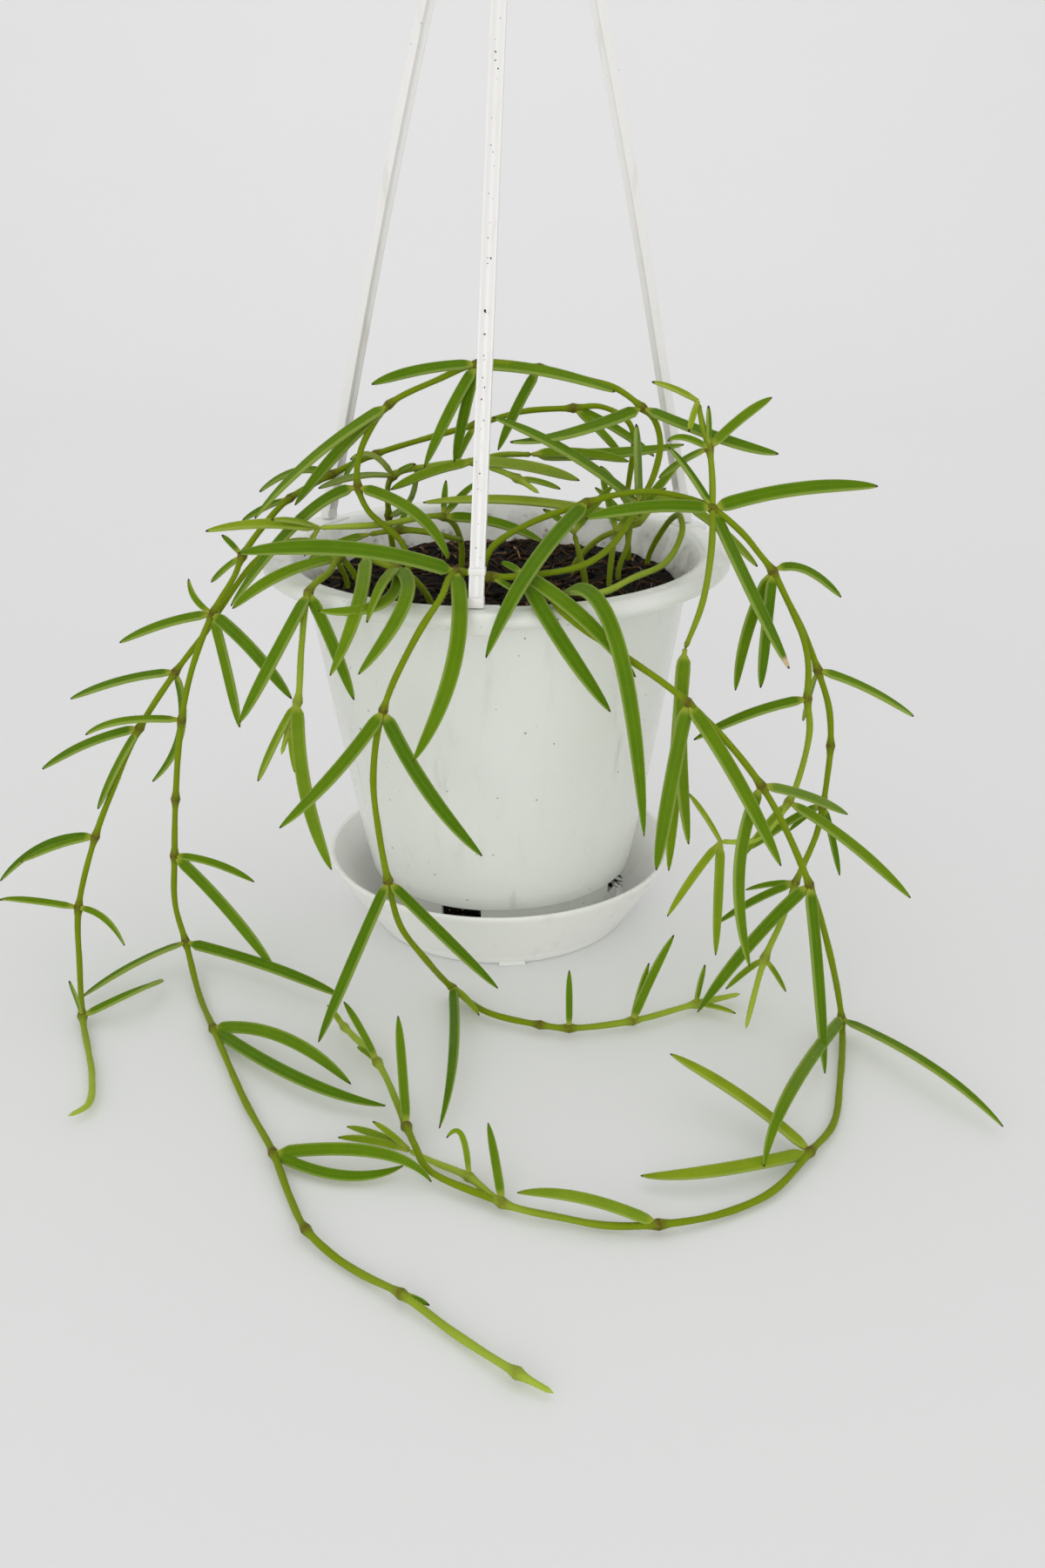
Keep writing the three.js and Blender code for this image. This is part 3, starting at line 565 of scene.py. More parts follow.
# stems and leaves of the plan: a leaf is (stem, index of the point it grows from, tip, middle)
vines = {
    "vine_front_right": {
        "stems": [
            [
                (14, -47, 121), (16, -62, 135), (19, -77, 134), (26, -84, 130), (32, -88, 127),
                (55, -92, 111), (77, -94, 86), (93, -94, 54), (101, -93, 30), (107, -90, 5),
                (101, -120, 2), (95, -141, 2), (86, -155, 3), (73, -171, 2), (58, -180, 2),
                (42, -185, 3), (29, -184, 2), (18, -181, 2), (2, -176, 3), (-7, -165, 3),
                (-17, -157, 2), (-24, -153, 3),
            ],
            [
                (2, -176, 3), (-18, -163, 4), (-22, -155, 6), (-25, -145, 5), (-36, -111, 4),
                (-48, -91, 4), (-52, -84, 4),
            ],
        ],
        "leaves": [
            (0, 5, (82, -106, 66)), (0, 5, (47, -98, 61)), (0, 6, (104, -88, 74)),
            (0, 6, (75, -104, 32), (71, -100, 62)), (0, 7, (63, -82, 3)), (0, 7, (97, -117, 3)),
            (0, 9, (142, -144, 3), (127, -121, 8)), (0, 9, (72, -164, 5), (81, -146, 16)),
            (0, 12, (50, -126, 16), (70, -140, 10)), (0, 12, (39, -165, 3), (58, -167, 6)),
            (0, 15, (6, -177, 7), (23, -182, 9)), (0, 18, (-2, -152, 11)),
            (0, 19, (-13, -160, 12), (-9, -160, 13)), (0, 21, (-42, -142, 3)), (0, 21, (-44, -147, 3)),
            (0, 21, (-34, -148, 9)), (1, 3, (-28, -124, 28)), (1, 4, (-47, -96, 16)),
            (1, 4, (-43, -101, 3)), (1, 5, (-54, -83, 7)),
        ],
    },
    "vine_left_long": {
        "stems": [
            [
                (46, 31, 121), (45, 31, 140), (46, 30, 167), (36, 28, 174), (26, 26, 174),
                (9, 26, 173), (-7, 24, 169), (-21, 20, 166), (-40, 10, 162), (-54, 2, 157),
                (-67, -6, 151), (-73, -14, 146), (-81, -22, 136), (-83, -26, 131), (-90, -32, 120),
                (-97, -35, 104), (-102, -37, 86), (-106, -39, 59), (-108, -40, 39), (-109, -42, 22),
                (-106, -45, 9), (-98, -67, 2), (-89, -90, 3), (-73, -128, 2), (-61, -154, 3),
                (-54, -172, 2), (-48, -186, 3), (-40, -195, 2), (-32, -202, 2), (-22, -210, 3),
                (-9, -222, 2), (6, -236, 3), (14, -241, 2),
            ],
        ],
        "leaves": [
            (0, 4, (43, 22, 158)), (0, 4, (54, 29, 157)), (0, 6, (-15, 18, 155)),
            (0, 8, (-35, 8, 156)), (0, 8, (-50, 0, 155), (-46, 6, 161)),
            (0, 9, (-76, -10, 154), (-65, -2, 159)), (0, 10, (-82, -12, 145)),
            (0, 12, (-92, -20, 127)), (0, 12, (-87, -22, 143)), (0, 14, (-121, -30, 110)),
            (0, 14, (-97, -30, 131), (-95, -32, 125)), (0, 14, (-82, -44, 86)),
            (0, 14, (-62, -62, 102)), (0, 16, (-132, -42, 83), (-120, -40, 87)),
            (0, 18, (-81, -46, 32), (-94, -44, 38)), (0, 18, (-74, -60, 7)),
            (0, 20, (-50, -78, 7), (-75, -62, 9)), (0, 20, (-135, -70, 3)),
            (0, 22, (-43, -121, 3), (-65, -106, 10)), (0, 22, (-32, -132, 3), (-57, -123, 6)),
            (0, 24, (-17, -167, 3), (-32, -162, 9)), (0, 24, (-25, -160, 3), (-41, -164, 3)),
            (0, 29, (-15, -214, 3)),
        ],
    },
    "vine_left_far": {
        "stems": [
            [
                (-50, -6, 121), (-58, -10, 137), (-70, -15, 138), (-77, -20, 134), (-90, -22, 118),
                (-94, -24, 112), (-104, -30, 100), (-116, -36, 83), (-127, -39, 61), (-133, -42, 47),
                (-139, -50, 25), (-136, -66, 12), (-132, -82, 3), (-125, -102, 2), (-121, -114, 2),
                (-118, -131, 3), (-122, -136, 3),
            ],
        ],
        "leaves": [
            (0, 6, (-139, -30, 91)), (0, 6, (-115, -31, 62), (-105, -27, 78)),
            (0, 7, (-150, -34, 68), (-134, -34, 77)), (0, 7, (-131, -42, 57)),
            (0, 9, (-165, -46, 33), (-151, -40, 43)), (0, 9, (-158, -44, 39)),
            (0, 10, (-164, -52, 29), (-156, -50, 28)), (0, 10, (-123, -58, 15), (-129, -56, 24)),
            (0, 12, (-134, -84, 17)), (0, 12, (-111, -60, 3), (-117, -76, 8)),
        ],
    },
    "vine_arch": {
        "stems": [
            [
                (-28, -27, 121), (-29, -26, 140), (-40, -24, 151), (-43, -22, 158), (-43, -19, 165),
                (-40, -16, 173), (-33, -14, 182), (-17, -16, 190), (-5, -20, 195), (14, -22, 194),
                (29, -20, 190), (38, -18, 187), (46, -16, 181), (50, -15, 177), (52, -16, 170),
                (50, -20, 161), (45, -26, 153), (37, -38, 144), (27, -50, 140), (9, -62, 140),
                (-1, -63, 140), (-11, -65, 142), (-15, -78, 138), (-21, -84, 130), (-29, -86, 115),
                (-32, -86, 107), (-34, -86, 100), (-36, -85, 84), (-35, -84, 66), (-33, -84, 51),
                (-30, -84, 36), (-23, -80, 22), (-15, -68, 4), (-4, -81, 3), (13, -89, 3),
                (22, -91, 3), (42, -87, 3), (63, -77, 3), (78, -71, 3),
            ],
        ],
        "leaves": [
            (0, 3, (-83, -37, 124), (-61, -28, 149)), (0, 3, (-14, -44, 140), (-24, -34, 152)),
            (0, 6, (-74, -34, 151), (-56, -26, 168)), (0, 6, (-64, -16, 151)),
            (0, 8, (-37, -26, 190), (-22, -24, 194)), (0, 8, (-22, -22, 164)), (0, 8, (-13, -14, 164)),
            (0, 8, (37, -24, 187), (17, -24, 193)), (0, 9, (1, -16, 168)),
            (0, 12, (5, -40, 175), (23, -32, 176)), (0, 12, (87, -30, 169), (70, -26, 173)),
            (0, 16, (0, -44, 183)), (0, 16, (43, -34, 179)), (0, 19, (33, -94, 109), (18, -84, 129)),
            (0, 19, (40, -93, 119), (25, -84, 134)), (0, 21, (-70, -88, 154), (-40, -80, 153)),
            (0, 21, (-23, -98, 96), (-11, -94, 124)), (0, 25, (-61, -106, 79), (-45, -98, 93)),
            (0, 25, (-4, -96, 65), (-20, -92, 85)), (0, 29, (-54, -106, 8), (-43, -98, 32)),
            (0, 29, (0, -92, 18), (-16, -90, 35)), (0, 32, (-16, -143, 3), (-13, -117, 9)),
            (0, 32, (-6, -88, 6)), (0, 35, (22, -90, 23)), (0, 36, (47, -84, 22)),
            (0, 36, (54, -88, 34)), (0, 37, (65, -80, 19)), (0, 37, (75, -83, 3)),
            (0, 20, (8, -66, 135)), (0, 19, (2, -54, 142)),
        ],
    },
    "vine_front_left": {
        "stems": [
            [
                (-42, -26, 121), (-48, -36, 139), (-50, -49, 138), (-55, -61, 135), (-57, -68, 121),
                (-59, -70, 104), (-62, -70, 96), (-65, -70, 87),
            ],
        ],
        "leaves": [
            (0, 1, (-80, -50, 127), (-65, -48, 137)), (0, 3, (-76, -74, 99), (-64, -74, 120)),
            (0, 3, (-41, -80, 108)), (0, 5, (-72, -74, 80)), (0, 5, (-50, -84, 55), (-57, -80, 80)),
            (0, 6, (-61, -72, 82)),
        ],
    },
    "stem_front_rim": {
        "stems": [
            [
                (-20, -38, 121), (-24, -46, 134), (-29, -54, 140), (-39, -48, 142),
            ],
        ],
        "leaves": [
            (0, 2, (-36, -82, 132), (-32, -74, 141)), (0, 2, (-38, -92, 120), (-25, -82, 138)),
            (0, 2, (-50, -80, 135), (-32, -76, 136)), (0, 3, (-47, -84, 117), (-39, -80, 135)),
        ],
    },
    "vine_right": {
        "stems": [
            [
                (-4, -50, 121), (-4, -50, 136), (-1, -50, 145), (10, -44, 151), (28, -38, 156),
                (37, -36, 158), (47, -36, 159), (56, -38, 158), (66, -42, 155), (75, -44, 148),
                (81, -44, 141), (85, -44, 136), (91, -44, 125), (96, -44, 116), (101, -44, 104),
                (105, -46, 92), (106, -48, 80), (105, -51, 69), (104, -53, 62), (102, -56, 53),
                (95, -63, 39), (90, -70, 29), (84, -78, 20), (80, -85, 10), (77, -92, 3),
            ],
            [
                (91, -44, 125), (95, -47, 116), (97, -49, 107), (97, -51, 97), (98, -53, 87),
                (95, -56, 72), (92, -58, 65), (82, -62, 54), (70, -66, 55),
            ],
            [
                (66, -42, 155), (65, -52, 146), (62, -60, 131), (57, -62, 117),
            ],
            [
                (66, -42, 155), (66, -38, 164), (65, -36, 172), (63, -36, 178), (61, -36, 186),
            ],
        ],
        "leaves": [
            (0, 4, (-2, -93, 125), (10, -70, 143)), (0, 4, (11, -44, 140)), (0, 8, (116, -40, 161)),
            (0, 8, (27, -54, 155)), (0, 8, (53, -34, 172)), (0, 8, (88, -66, 112), (77, -56, 133)),
            (3, 2, (64, -38, 185)), (3, 2, (85, -24, 185)), (3, 2, (51, -26, 161)),
            (3, 2, (52, -40, 175), (57, -40, 176)), (3, 4, (47, -38, 192)), (3, 4, (58, -42, 178)),
            (2, 3, (59, -74, 58), (56, -68, 90)), (2, 3, (54, -66, 45)),
            (0, 11, (107, -42, 127), (95, -42, 136)), (0, 11, (76, -40, 96), (79, -42, 118)),
            (0, 11, (82, -52, 101)), (0, 14, (132, -46, 89)), (0, 14, (99, -36, 84)),
            (1, 3, (61, -60, 87)), (1, 6, (128, -78, 41)), (1, 6, (77, -64, 48)),
            (1, 8, (60, -60, 69)), (1, 8, (53, -76, 34)), (1, 8, (69, -74, 19)),
            (0, 18, (110, -58, 39)), (0, 18, (94, -50, 51)), (0, 18, (83, -46, 43)),
            (0, 20, (70, -66, 26)), (0, 20, (80, -58, 34)), (0, 22, (91, -80, 9)),
            (0, 22, (73, -73, 6)),
        ],
    },
    "stem_loop_right": {
        "stems": [
            [
                (52, 18, 121), (57, 11, 137), (60, -4, 144), (60, -14, 141), (54, -28, 135),
                (42, -44, 134), (32, -56, 133), (21, -66, 136),
            ],
        ],
        "leaves": [
            (0, 7, (43, -100, 73), (34, -94, 131)),
        ],
    },
    "stem_mid_left": {
        "stems": [
            [
                (-12, 0, 121), (-12, -2, 136), (-17, -12, 146), (-36, -22, 146), (-55, -30, 147),
            ],
            [
                (-12, -2, 136), (-15, -11, 139), (-22, -16, 142), (-31, -17, 143), (-41, -19, 142),
            ],
        ],
        "leaves": [
            (0, 4, (-87, -46, 150)), (0, 4, (-60, -30, 138)), (0, 4, (-68, -40, 152)),
            (0, 2, (15, -22, 140), (0, -16, 145)), (0, 2, (-16, -8, 157)), (0, 2, (-6, -6, 156)),
            (1, 4, (-58, -34, 138)), (1, 3, (-27, -10, 152)),
        ],
    },
    "stem_back_left": {
        "stems": [
            [
                (-36, 20, 121), (-37, 16, 140), (-34, 4, 156), (-21, 0, 160), (-7, -4, 162),
                (-1, -4, 160), (7, -6, 157), (14, -10, 153),
            ],
            [
                (-7, -4, 162), (1, 2, 163), (12, 8, 162),
            ],
        ],
        "leaves": [
            (0, 2, (-26, -2, 161)), (0, 2, (-47, -4, 163), (-40, -2, 164)),
            (0, 2, (-57, -10, 155), (-45, -6, 158)), (0, 1, (-26, 2, 160), (-29, 8, 147)),
            (0, 4, (-34, -8, 154)), (0, 4, (27, -10, 157)), (0, 6, (21, -4, 153)),
            (1, 2, (63, 18, 163), (38, 14, 161)), (1, 2, (44, 10, 159)),
        ],
    },
    "stem_back_right": {
        "stems": [
            [
                (26, 8, 121), (34, 5, 134), (47, 0, 141), (54, 0, 148), (62, -6, 148),
            ],
        ],
        "leaves": [
            (0, 2, (-23, -18, 152)), (0, 2, (34, -2, 160)), (0, 4, (84, -20, 131)),
            (0, 4, (50, 0, 149)),
        ],
    },
    "stem_upright_1": {
        "stems": [
            [
                (29, -16, 121), (27, -18, 134), (25, -18, 142),
            ],
        ],
        "leaves": [
            (0, 2, (38, -12, 156)), (0, 2, (15, -24, 151)),
        ],
    },
    "stem_upright_2": {
        "stems": [
            [
                (37, -10, 121), (38, -9, 134), (39, -8, 140),
            ],
        ],
        "leaves": [
            (0, 2, (34, -4, 158)), (0, 2, (55, -8, 154)),
        ],
    },
    "stem_upright_3": {
        "stems": [
            [
                (41, 4, 121), (44, 6, 132), (45, 8, 138),
            ],
        ],
        "leaves": [
            (0, 2, (62, 20, 156)), (0, 2, (33, 12, 150)),
        ],
    },
}


stemPlan = {
    "radius": 0.97, "step": 1.6, "top": 121, "rootDepth": 9, "rootBend": 3, "jointSwell": 0.65,
    "jointReach": 1.7, "tipReach": 9.0, "tipShare": 0.55, "tipRound": 1.3, "youngReach": 70.0,
    "wobble": 0.08, "waves": (3.7, 9.1), "longRun": 60, "youngLong": 0.9, "youngShort": 0.25,
}
# lowWide: how wide a leaf that grows below lowEnd is, beside one that grows lowFade above it
leafPlan = {
    "width": 1.3, "perLength": 0.066, "widest": 4.65, "lowWide": 0.82, "lowEnd": 60, "lowFade": 80,
    "halfThick": 1.05, "fullThick": 1.5, "rise": 0.05, "faceOut": 0.6, "faceUp": 0.7, "faceCentre": 60.0,
    "stationGap": 2.2, "stations": (12, 26), "petiole": 0.72, "petioleEnd": 2.2, "full": 5.2,
    "fallStart": (0.36, 0.58), "fallPower": 2.5, "fallRound": 0.62, "roll": 16.0, "twist": 26.0,
    "twistFrom": 0.3, "tipHalf": 0.14, "tipThick": 0.25, "youngReach": 45.0, "youngLong": 0.85,
    "youngShort": 0.2, "youngSpread": 0.18,
}
hairPlan = {
    "leaf": {"Density": 0.7e6, "Edge Share": 3.0, "Length": 0.00038, "Radius": 0.00003},
    "stem": {"Density": 2.0e6, "Edge Share": 0.0, "Length": 0.0005, "Radius": 0.00003},
}


def unit(vector):
    return vector / max(np.linalg.norm(vector), 1e-9)


# a centripetal Catmull-Rom curve through the points, in short even steps
def smoothRoute(points, step):
    given = [np.array(p, float) for p in points]
    knots = [2 * given[0] - given[1], *given, 2 * given[-1] - given[-2]]
    route = []
    marks = []
    for k in range(1, len(knots) - 2):
        before, start, end, after = knots[k - 1:k + 3]
        gaps = [np.linalg.norm(b - a) ** 0.5 for a, b in ((before, start), (start, end), (end, after))]
        first = (start - before) / gaps[0] - (end - before) / (gaps[0] + gaps[1]) + (end - start) / gaps[1]
        last = (end - start) / gaps[1] - (after - start) / (gaps[1] + gaps[2]) + (after - end) / gaps[2]
        first, last = first * gaps[1], last * gaps[1]
        count = max(2, round(np.linalg.norm(end - start) / step))
        marks.append(len(route))
        for j in range(count):
            t = j / count
            route.append(
                (2 * t ** 3 - 3 * t ** 2 + 1) * start + (t ** 3 - 2 * t ** 2 + t) * first
                + (3 * t ** 2 - 2 * t ** 3) * end + (t ** 3 - t ** 2) * last)
    marks.append(len(route))
    route.append(given[-1])
    return np.array(route), marks


def runLength(route):
    return np.concatenate([[0.0], np.cumsum(np.linalg.norm(np.diff(route, axis=0), axis=1))])


def planStem(points, rooted, jointIndices, plan, draw):
    if rooted:
        x, y = points[0][:2]
        lows = [plan["top"] + rise for rise in (-plan["rootDepth"], -plan["rootBend"], plan["rootBend"])]
        points = [(x, y, z) for z in lows] + list(points[1:])
    route, marks = smoothRoute(points, plan["step"])
    run = runLength(route)
    shift = 2 if rooted else 0
    joint = np.zeros(len(route))
    for index in jointIndices:
        at = run[marks[index + shift]] if index + shift < len(marks) else run[-1]
        joint = np.maximum(joint, np.exp(-((run - at) / plan["jointReach"]) ** 2))
    remaining = run[-1] - run
    taper = plan["tipShare"] + (1 - plan["tipShare"]) * np.clip(remaining / plan["tipReach"], 0, 1) ** 0.7
    rounded = np.clip(remaining / plan["tipRound"], 0.02, 1)
    taper = taper * np.sqrt(1 - (1 - rounded) ** 2)
    wave = draw.uniform(0, 6)
    short, long = plan["waves"]
    uneven = 1 + plan["wobble"] * np.sin(run / short + wave) * np.sin(run / long)
    thick = plan["radius"] * uneven * taper * (1 + plan["jointSwell"] * joint)
    most = plan["youngLong"] if run[-1] > plan["longRun"] else plan["youngShort"]
    young = np.clip(1 - remaining / plan["youngReach"], 0, 1) * most
    values = {"thick": thick * mm, "joint": joint, "young": young}
    return {"points": route * mm, "values": values}, run, marks, shift


def planLeaf(foot, tip, middle, young, plan, draw, traits):
    start, end = np.array(foot, float), np.array(tip, float)
    span = np.linalg.norm(end - start)
    through = np.array(middle, float) if middle else (start + end) / 2 + (0, 0, plan["rise"] * span)
    pull = 2 * through - (start + end) / 2
    low, high = plan["stations"]
    count = int(np.clip(round(span / plan["stationGap"]) + 6, low, high))
    t = np.linspace(0, 1, count)
    t = np.concatenate([[0.0], t[1:-1] - 0.35 * (1 / count) * np.cos(math.pi * t[1:-1]), [1.0]])
    share = t[:, None]
    route = (1 - share) ** 2 * start + 2 * share * (1 - share) * pull + share ** 2 * end
    run = runLength(route)
    length = run[-1]
    tangents = np.array([unit(row) for row in np.gradient(route, run, axis=0)])
    outward = unit(np.array([start[0], start[1] - plan["faceCentre"], 0.0]))
    face = outward * plan["faceOut"] + np.array([0, 0, plan["faceUp"]])
    side = np.array([unit(np.cross(face, row)) for row in tangents])
    up = np.cross(tangents, side)
    roll = draw.uniform(-plan["roll"], plan["roll"]) + traits.get("roll", 0.0)
    twist = draw.uniform(-plan["twist"], plan["twist"])
    angle = np.radians(roll + twist * (run / length - plan["twistFrom"]))[:, None]
    up = up * np.cos(angle) + side * np.sin(angle)
    half = min(plan["width"] + plan["perLength"] * span, plan["widest"]) / 2 * traits.get("wide", 1.0)
    height = np.clip((start[2] - plan["lowEnd"]) / plan["lowFade"], 0, 1)
    half *= plan["lowWide"] + (1 - plan["lowWide"]) * height
    grown = np.clip((run - plan["petioleEnd"]) / (plan["full"] - plan["petioleEnd"]), 0, 1)
    grown = np.sqrt(1 - (1 - grown) ** 2)
    fallStart = draw.uniform(*plan["fallStart"])
    fall = np.clip((run / length - fallStart) / (1 - fallStart), 0, 1)
    blade = np.maximum(1 - fall ** plan["fallPower"], 0) ** plan["fallRound"]
    petiole = plan["petiole"]
    halfWidth = np.maximum((petiole + (half - petiole) * grown) * blade, plan["tipHalf"])
    thin = min(1.0, half / plan["fullThick"])
    left = plan["tipThick"] + (1 - plan["tipThick"]) * blade ** 0.7
    halfThick = (petiole + (plan["halfThick"] * thin - petiole) * grown) * left
    fill = np.ones(count)
    return {"points": route * mm, "values": {
        "face": up, "halfWidth": halfWidth * mm, "halfThick": halfThick * mm, "fromFoot": run,
        "fromTip": length - run, "young": fill * traits.get("young", young), "tone": fill * draw.random(),
        "dust": fill * traits.get("dust", 0.0),
        "dry": fill * traits.get("dry", 0.0),
    }}


def makeVine(name, vine, traits, seed):
    draw = random.Random(seed)
    routes = []
    places = []
    for k, points in enumerate(vine["stems"]):
        joints = {leaf[1] for leaf in vine["leaves"] if leaf[0] == k}
        joints |= {index for stem, index in bareJoints.get(name, ()) if stem == k}
        route, run, marks, shift = planStem(points, k == 0, joints, stemPlan, draw)
        routes.append(route)
        places.append((run, marks, shift))
    stems = giveObject(name + "_stems", routeMesh(name + "_stems", routes))
    bake(stems, trees["tube"], {"Sides": stemSection["sides"], "Material": materials["stem"]})
    bake(stems, trees["hair"], {**hairPlan["stem"], "Seed": seed, "Hair": materials["hair"]})
    blades = []
    for index, leaf in enumerate(vine["leaves"]):
        stem, knot, tip = leaf[:3]
        middle = leaf[3] if len(leaf) > 3 else None
        run, marks, shift = places[stem]
        left = run[-1] - run[marks[knot + shift]]
        most = leafPlan["youngLong"] if run[-1] > stemPlan["longRun"] else leafPlan["youngShort"]
        young = max(0.0, 1 - left / leafPlan["youngReach"]) * most
        young += draw.uniform(0, leafPlan["youngSpread"])
        own = traits.get((name, index), {})
        blades.append(planLeaf(vine["stems"][stem][knot], tip, middle, young, leafPlan, draw, own))
    leaves = giveObject(name + "_leaves", routeMesh(name + "_leaves", blades))
    bake(leaves, trees["leaf"], {"Leaf": materials["leaf"]})
    bake(leaves, trees["hair"], {**hairPlan["leaf"], "Seed": seed + 50, "Hair": materials["hair"]})
    for piece in (stems, leaves):
        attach(piece, body)
    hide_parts(name)
    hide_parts(name)
    return sum(len(piece.data.loop_triangles) for piece in (stems, leaves))


# joints without leaves, as (stem, point), and leaves that differ from the rest, by their place in the list
bareJoints = {
    "vine_left_long": [(0, 17), (0, 26), (0, 31)], "vine_arch": [(0, 34)], "vine_right": [(0, 16)],
}
leafTraits = {
    ("vine_right", 5): {"dry": 1.0}, ("vine_right", 10): {"young": 1.0}, ("vine_right", 11): {"young": 1.0},
    ("stem_back_left", 1): {"dust": 0.9}, ("stem_back_left", 2): {"dust": 0.8},
    ("stem_back_left", 3): {"dust": 0.75}, ("stem_back_left", 5): {"roll": 180.0, "dust": 0.3},
    ("stem_back_right", 0): {"roll": 150.0}, ("stem_loop_right", 0): {"young": 0.1},
    ("vine_front_right", 2): {"dust": 0.4}, ("vine_front_right", 6): {"wide": 0.85},
    ("vine_front_right", 8): {"roll": 170.0}, ("vine_front_right", 9): {"roll": 160.0},
    ("vine_front_right", 10): {"roll": 170.0}, ("vine_arch", 12): {"dust": 0.6},
    ("vine_arch", 21): {"wide": 0.85}, ("vine_arch", 22): {"young": 0.9},
}
for seed, (name, vine) in enumerate(vines.items()):
    makeVine(name, vine, leafTraits, seed + 1)
    print("vine:", name)


# plastic pieces turned round an axis
pot = {
    "height": 133, "footRadius": 42, "footTop": 19, "footLean": 0.6, "bottom": 3.8, "floor": 2,
    "wall": 1.6, "insideRise": 1, "lowRadius": 45.3, "lowZ": 19, "highRadius": 62.8, "highZ": 118,
    "bend": 0.88, "wallStart": 20.5, "wallSteps": 14, "sides": 224,
    "stainTop": 132, "stainFade": 8, "stainFrom": 60, "inwards": 0.3,
    "lip": [(64.6, 125, 1.0), (74.4, 127, 1.2), (77.5, 129, 1.3), (77.2, 131.6, 1.3), (75, 133, 0.9),
            (69.6, 133, 1.2), (67.6, 132, 1.0), (65.4, 128.4, 1.4)],
}
slot = {"count": 4, "firstAngle": -18, "width": 14, "low": 13.5, "high": 19.6, "depth": 8}
saucer = {
    "profile": [(0, 0, 0), (45, 0, 0.5), (45.8, 0.8, 0.5), (46.8, 3.8, 0.3), (48.4, 4.6, 0.6),
                (60.6, 23.7, 0.5), (61, 24.9, 0.5), (60.6, 25.7, 0.3), (59.4, 25.3, 0.3), (44, 3.4, 1.5),
                (0, 3.4, 0)],
    "sides": 224, "tab": {"x": 4, "angle": 5, "size": (9, 3, 1.6), "y": -45.4, "z": 0.8, "edge": 0.35},
}
boss = {"circle": 73.4, "size": (14, 9.4, 7), "rise": 0.4, "edge": 0.8}
arm = {
    "count": 3, "footAngle": -4, "circle": 72.8, "width": 4.4, "depth": 3.2, "rib": 1.1, "bow": 2.4,
    "bowAt": 0.45, "footGap": 1.5, "headGap": 0.9, "headCircle": 4.5, "step": 3.0, "collarAt": 0.03,
    "collar": (5, 3.8, 2), "plug": (4.8, 3.6, 3), "clearance": 0.3, "edge": 0.22,
    "collarEdge": 0.4, "plugEdge": 0.35,
}
hub = {
    "x": 8, "z": 383, "sides": 96,
    "profile": [(0, 383, 0), (8.2, 383, 0.4), (9, 383.8, 0.5), (9, 386, 0.8), (3.6, 392, 1.2), (0, 392, 0)],
}
hook = {
    "wire": 2.3, "radius": 15, "base": 391, "neck": 12, "neckBend": 0.6, "turns": (10, 285, 25), "sides": 28,
    "step": 0.9,
}


def around(angle, radius, z):
    turn = math.radians(angle)
    return Vector((radius * math.sin(turn), -radius * math.cos(turn), z))


# rounds the corners of an outline of (radius, height, rounding)
def softened(corners, steps=5):
    outline = []
    last = len(corners) - 1
    for k, (x, y, rounding) in enumerate(corners):
        here = Vector((x, y))
        if k in (0, last) or rounding == 0:
            outline.append(here)
            continue
        before = Vector(corners[k - 1][:2]) - here
        after = Vector(corners[k + 1][:2]) - here
        start = here + before.normalized() * min(rounding, before.length * 0.48)
        end = here + after.normalized() * min(rounding, after.length * 0.48)
        for j in range(steps + 1):
            t = j / steps
            outline.append(start.lerp(here, t).lerp(here.lerp(end, t), t))
    return outline


def latheMesh(name, outline, sides):
    builder = bmesh.new()
    rings = []
    for x, z in outline:
        if x == 0:
            rings.append([builder.verts.new((0, 0, z * mm))])
            continue
        turns = [2 * math.pi * k / sides for k in range(sides)]
        ring = [(x * mm * math.cos(a), x * mm * math.sin(a), z * mm) for a in turns]
        rings.append([builder.verts.new(point) for point in ring])
    for low, high in zip(rings, rings[1:]):
        for k in range(sides):
            nextOne = (k + 1) % sides
            if len(low) == 1:
                builder.faces.new((low[0], high[nextOne], high[k]))
            elif len(high) == 1:
                builder.faces.new((low[k], low[nextOne], high[0]))
            else:
                builder.faces.new((low[k], low[nextOne], high[nextOne], high[k]))
    bmesh.ops.recalc_face_normals(builder, faces=builder.faces)
    mesh = bpy.data.meshes.new(name)
    builder.to_mesh(mesh)
    builder.free()
    return mesh


def boxMesh(name, size, angle, place, edge, segments=3):
    builder = bmesh.new()
    turn = Matrix.Rotation(math.radians(angle), 4, "Z")
    matrix = Matrix.Translation(place * mm) @ turn @ Matrix.Diagonal((*[s * mm for s in size], 1))
    bmesh.ops.create_cube(builder, size=1.0, matrix=matrix)
    if edge:
        bmesh.ops.bevel(builder, geom=builder.edges[:], offset=edge * mm, segments=segments, profile=0.5,
                        affect="EDGES")
    mesh = bpy.data.meshes.new(name)
    builder.to_mesh(mesh)
    builder.free()
    return mesh


# joins or cuts closed meshes and keeps one plain mesh
def combine(main, others, operation):
    for mesh in others:
        tool = giveObject("tool", mesh)
        modifier = main.modifiers.new("boolean", "BOOLEAN")
        modifier.operation = operation
        modifier.solver = "EXACT"
        modifier.object = tool
        shown = main.evaluated_get(bpy.context.evaluated_depsgraph_get())
        result = bpy.data.meshes.new_from_object(shown)
        main.modifiers.remove(modifier)
        old = main.data
        main.data = result
        bpy.data.meshes.remove(old)
        bpy.data.objects.remove(tool)
        bpy.data.meshes.remove(mesh)


def finishPlastic(piece, material, nodes, angle=35):
    piece.data.name = piece.name
    piece.data.materials.clear()
    piece.data.materials.append(material)
    for polygon in piece.data.polygons:
        polygon.material_index = 0
    piece.data.set_sharp_from_angle(angle=math.radians(angle))
    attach(piece, body)
    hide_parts(*nodes)


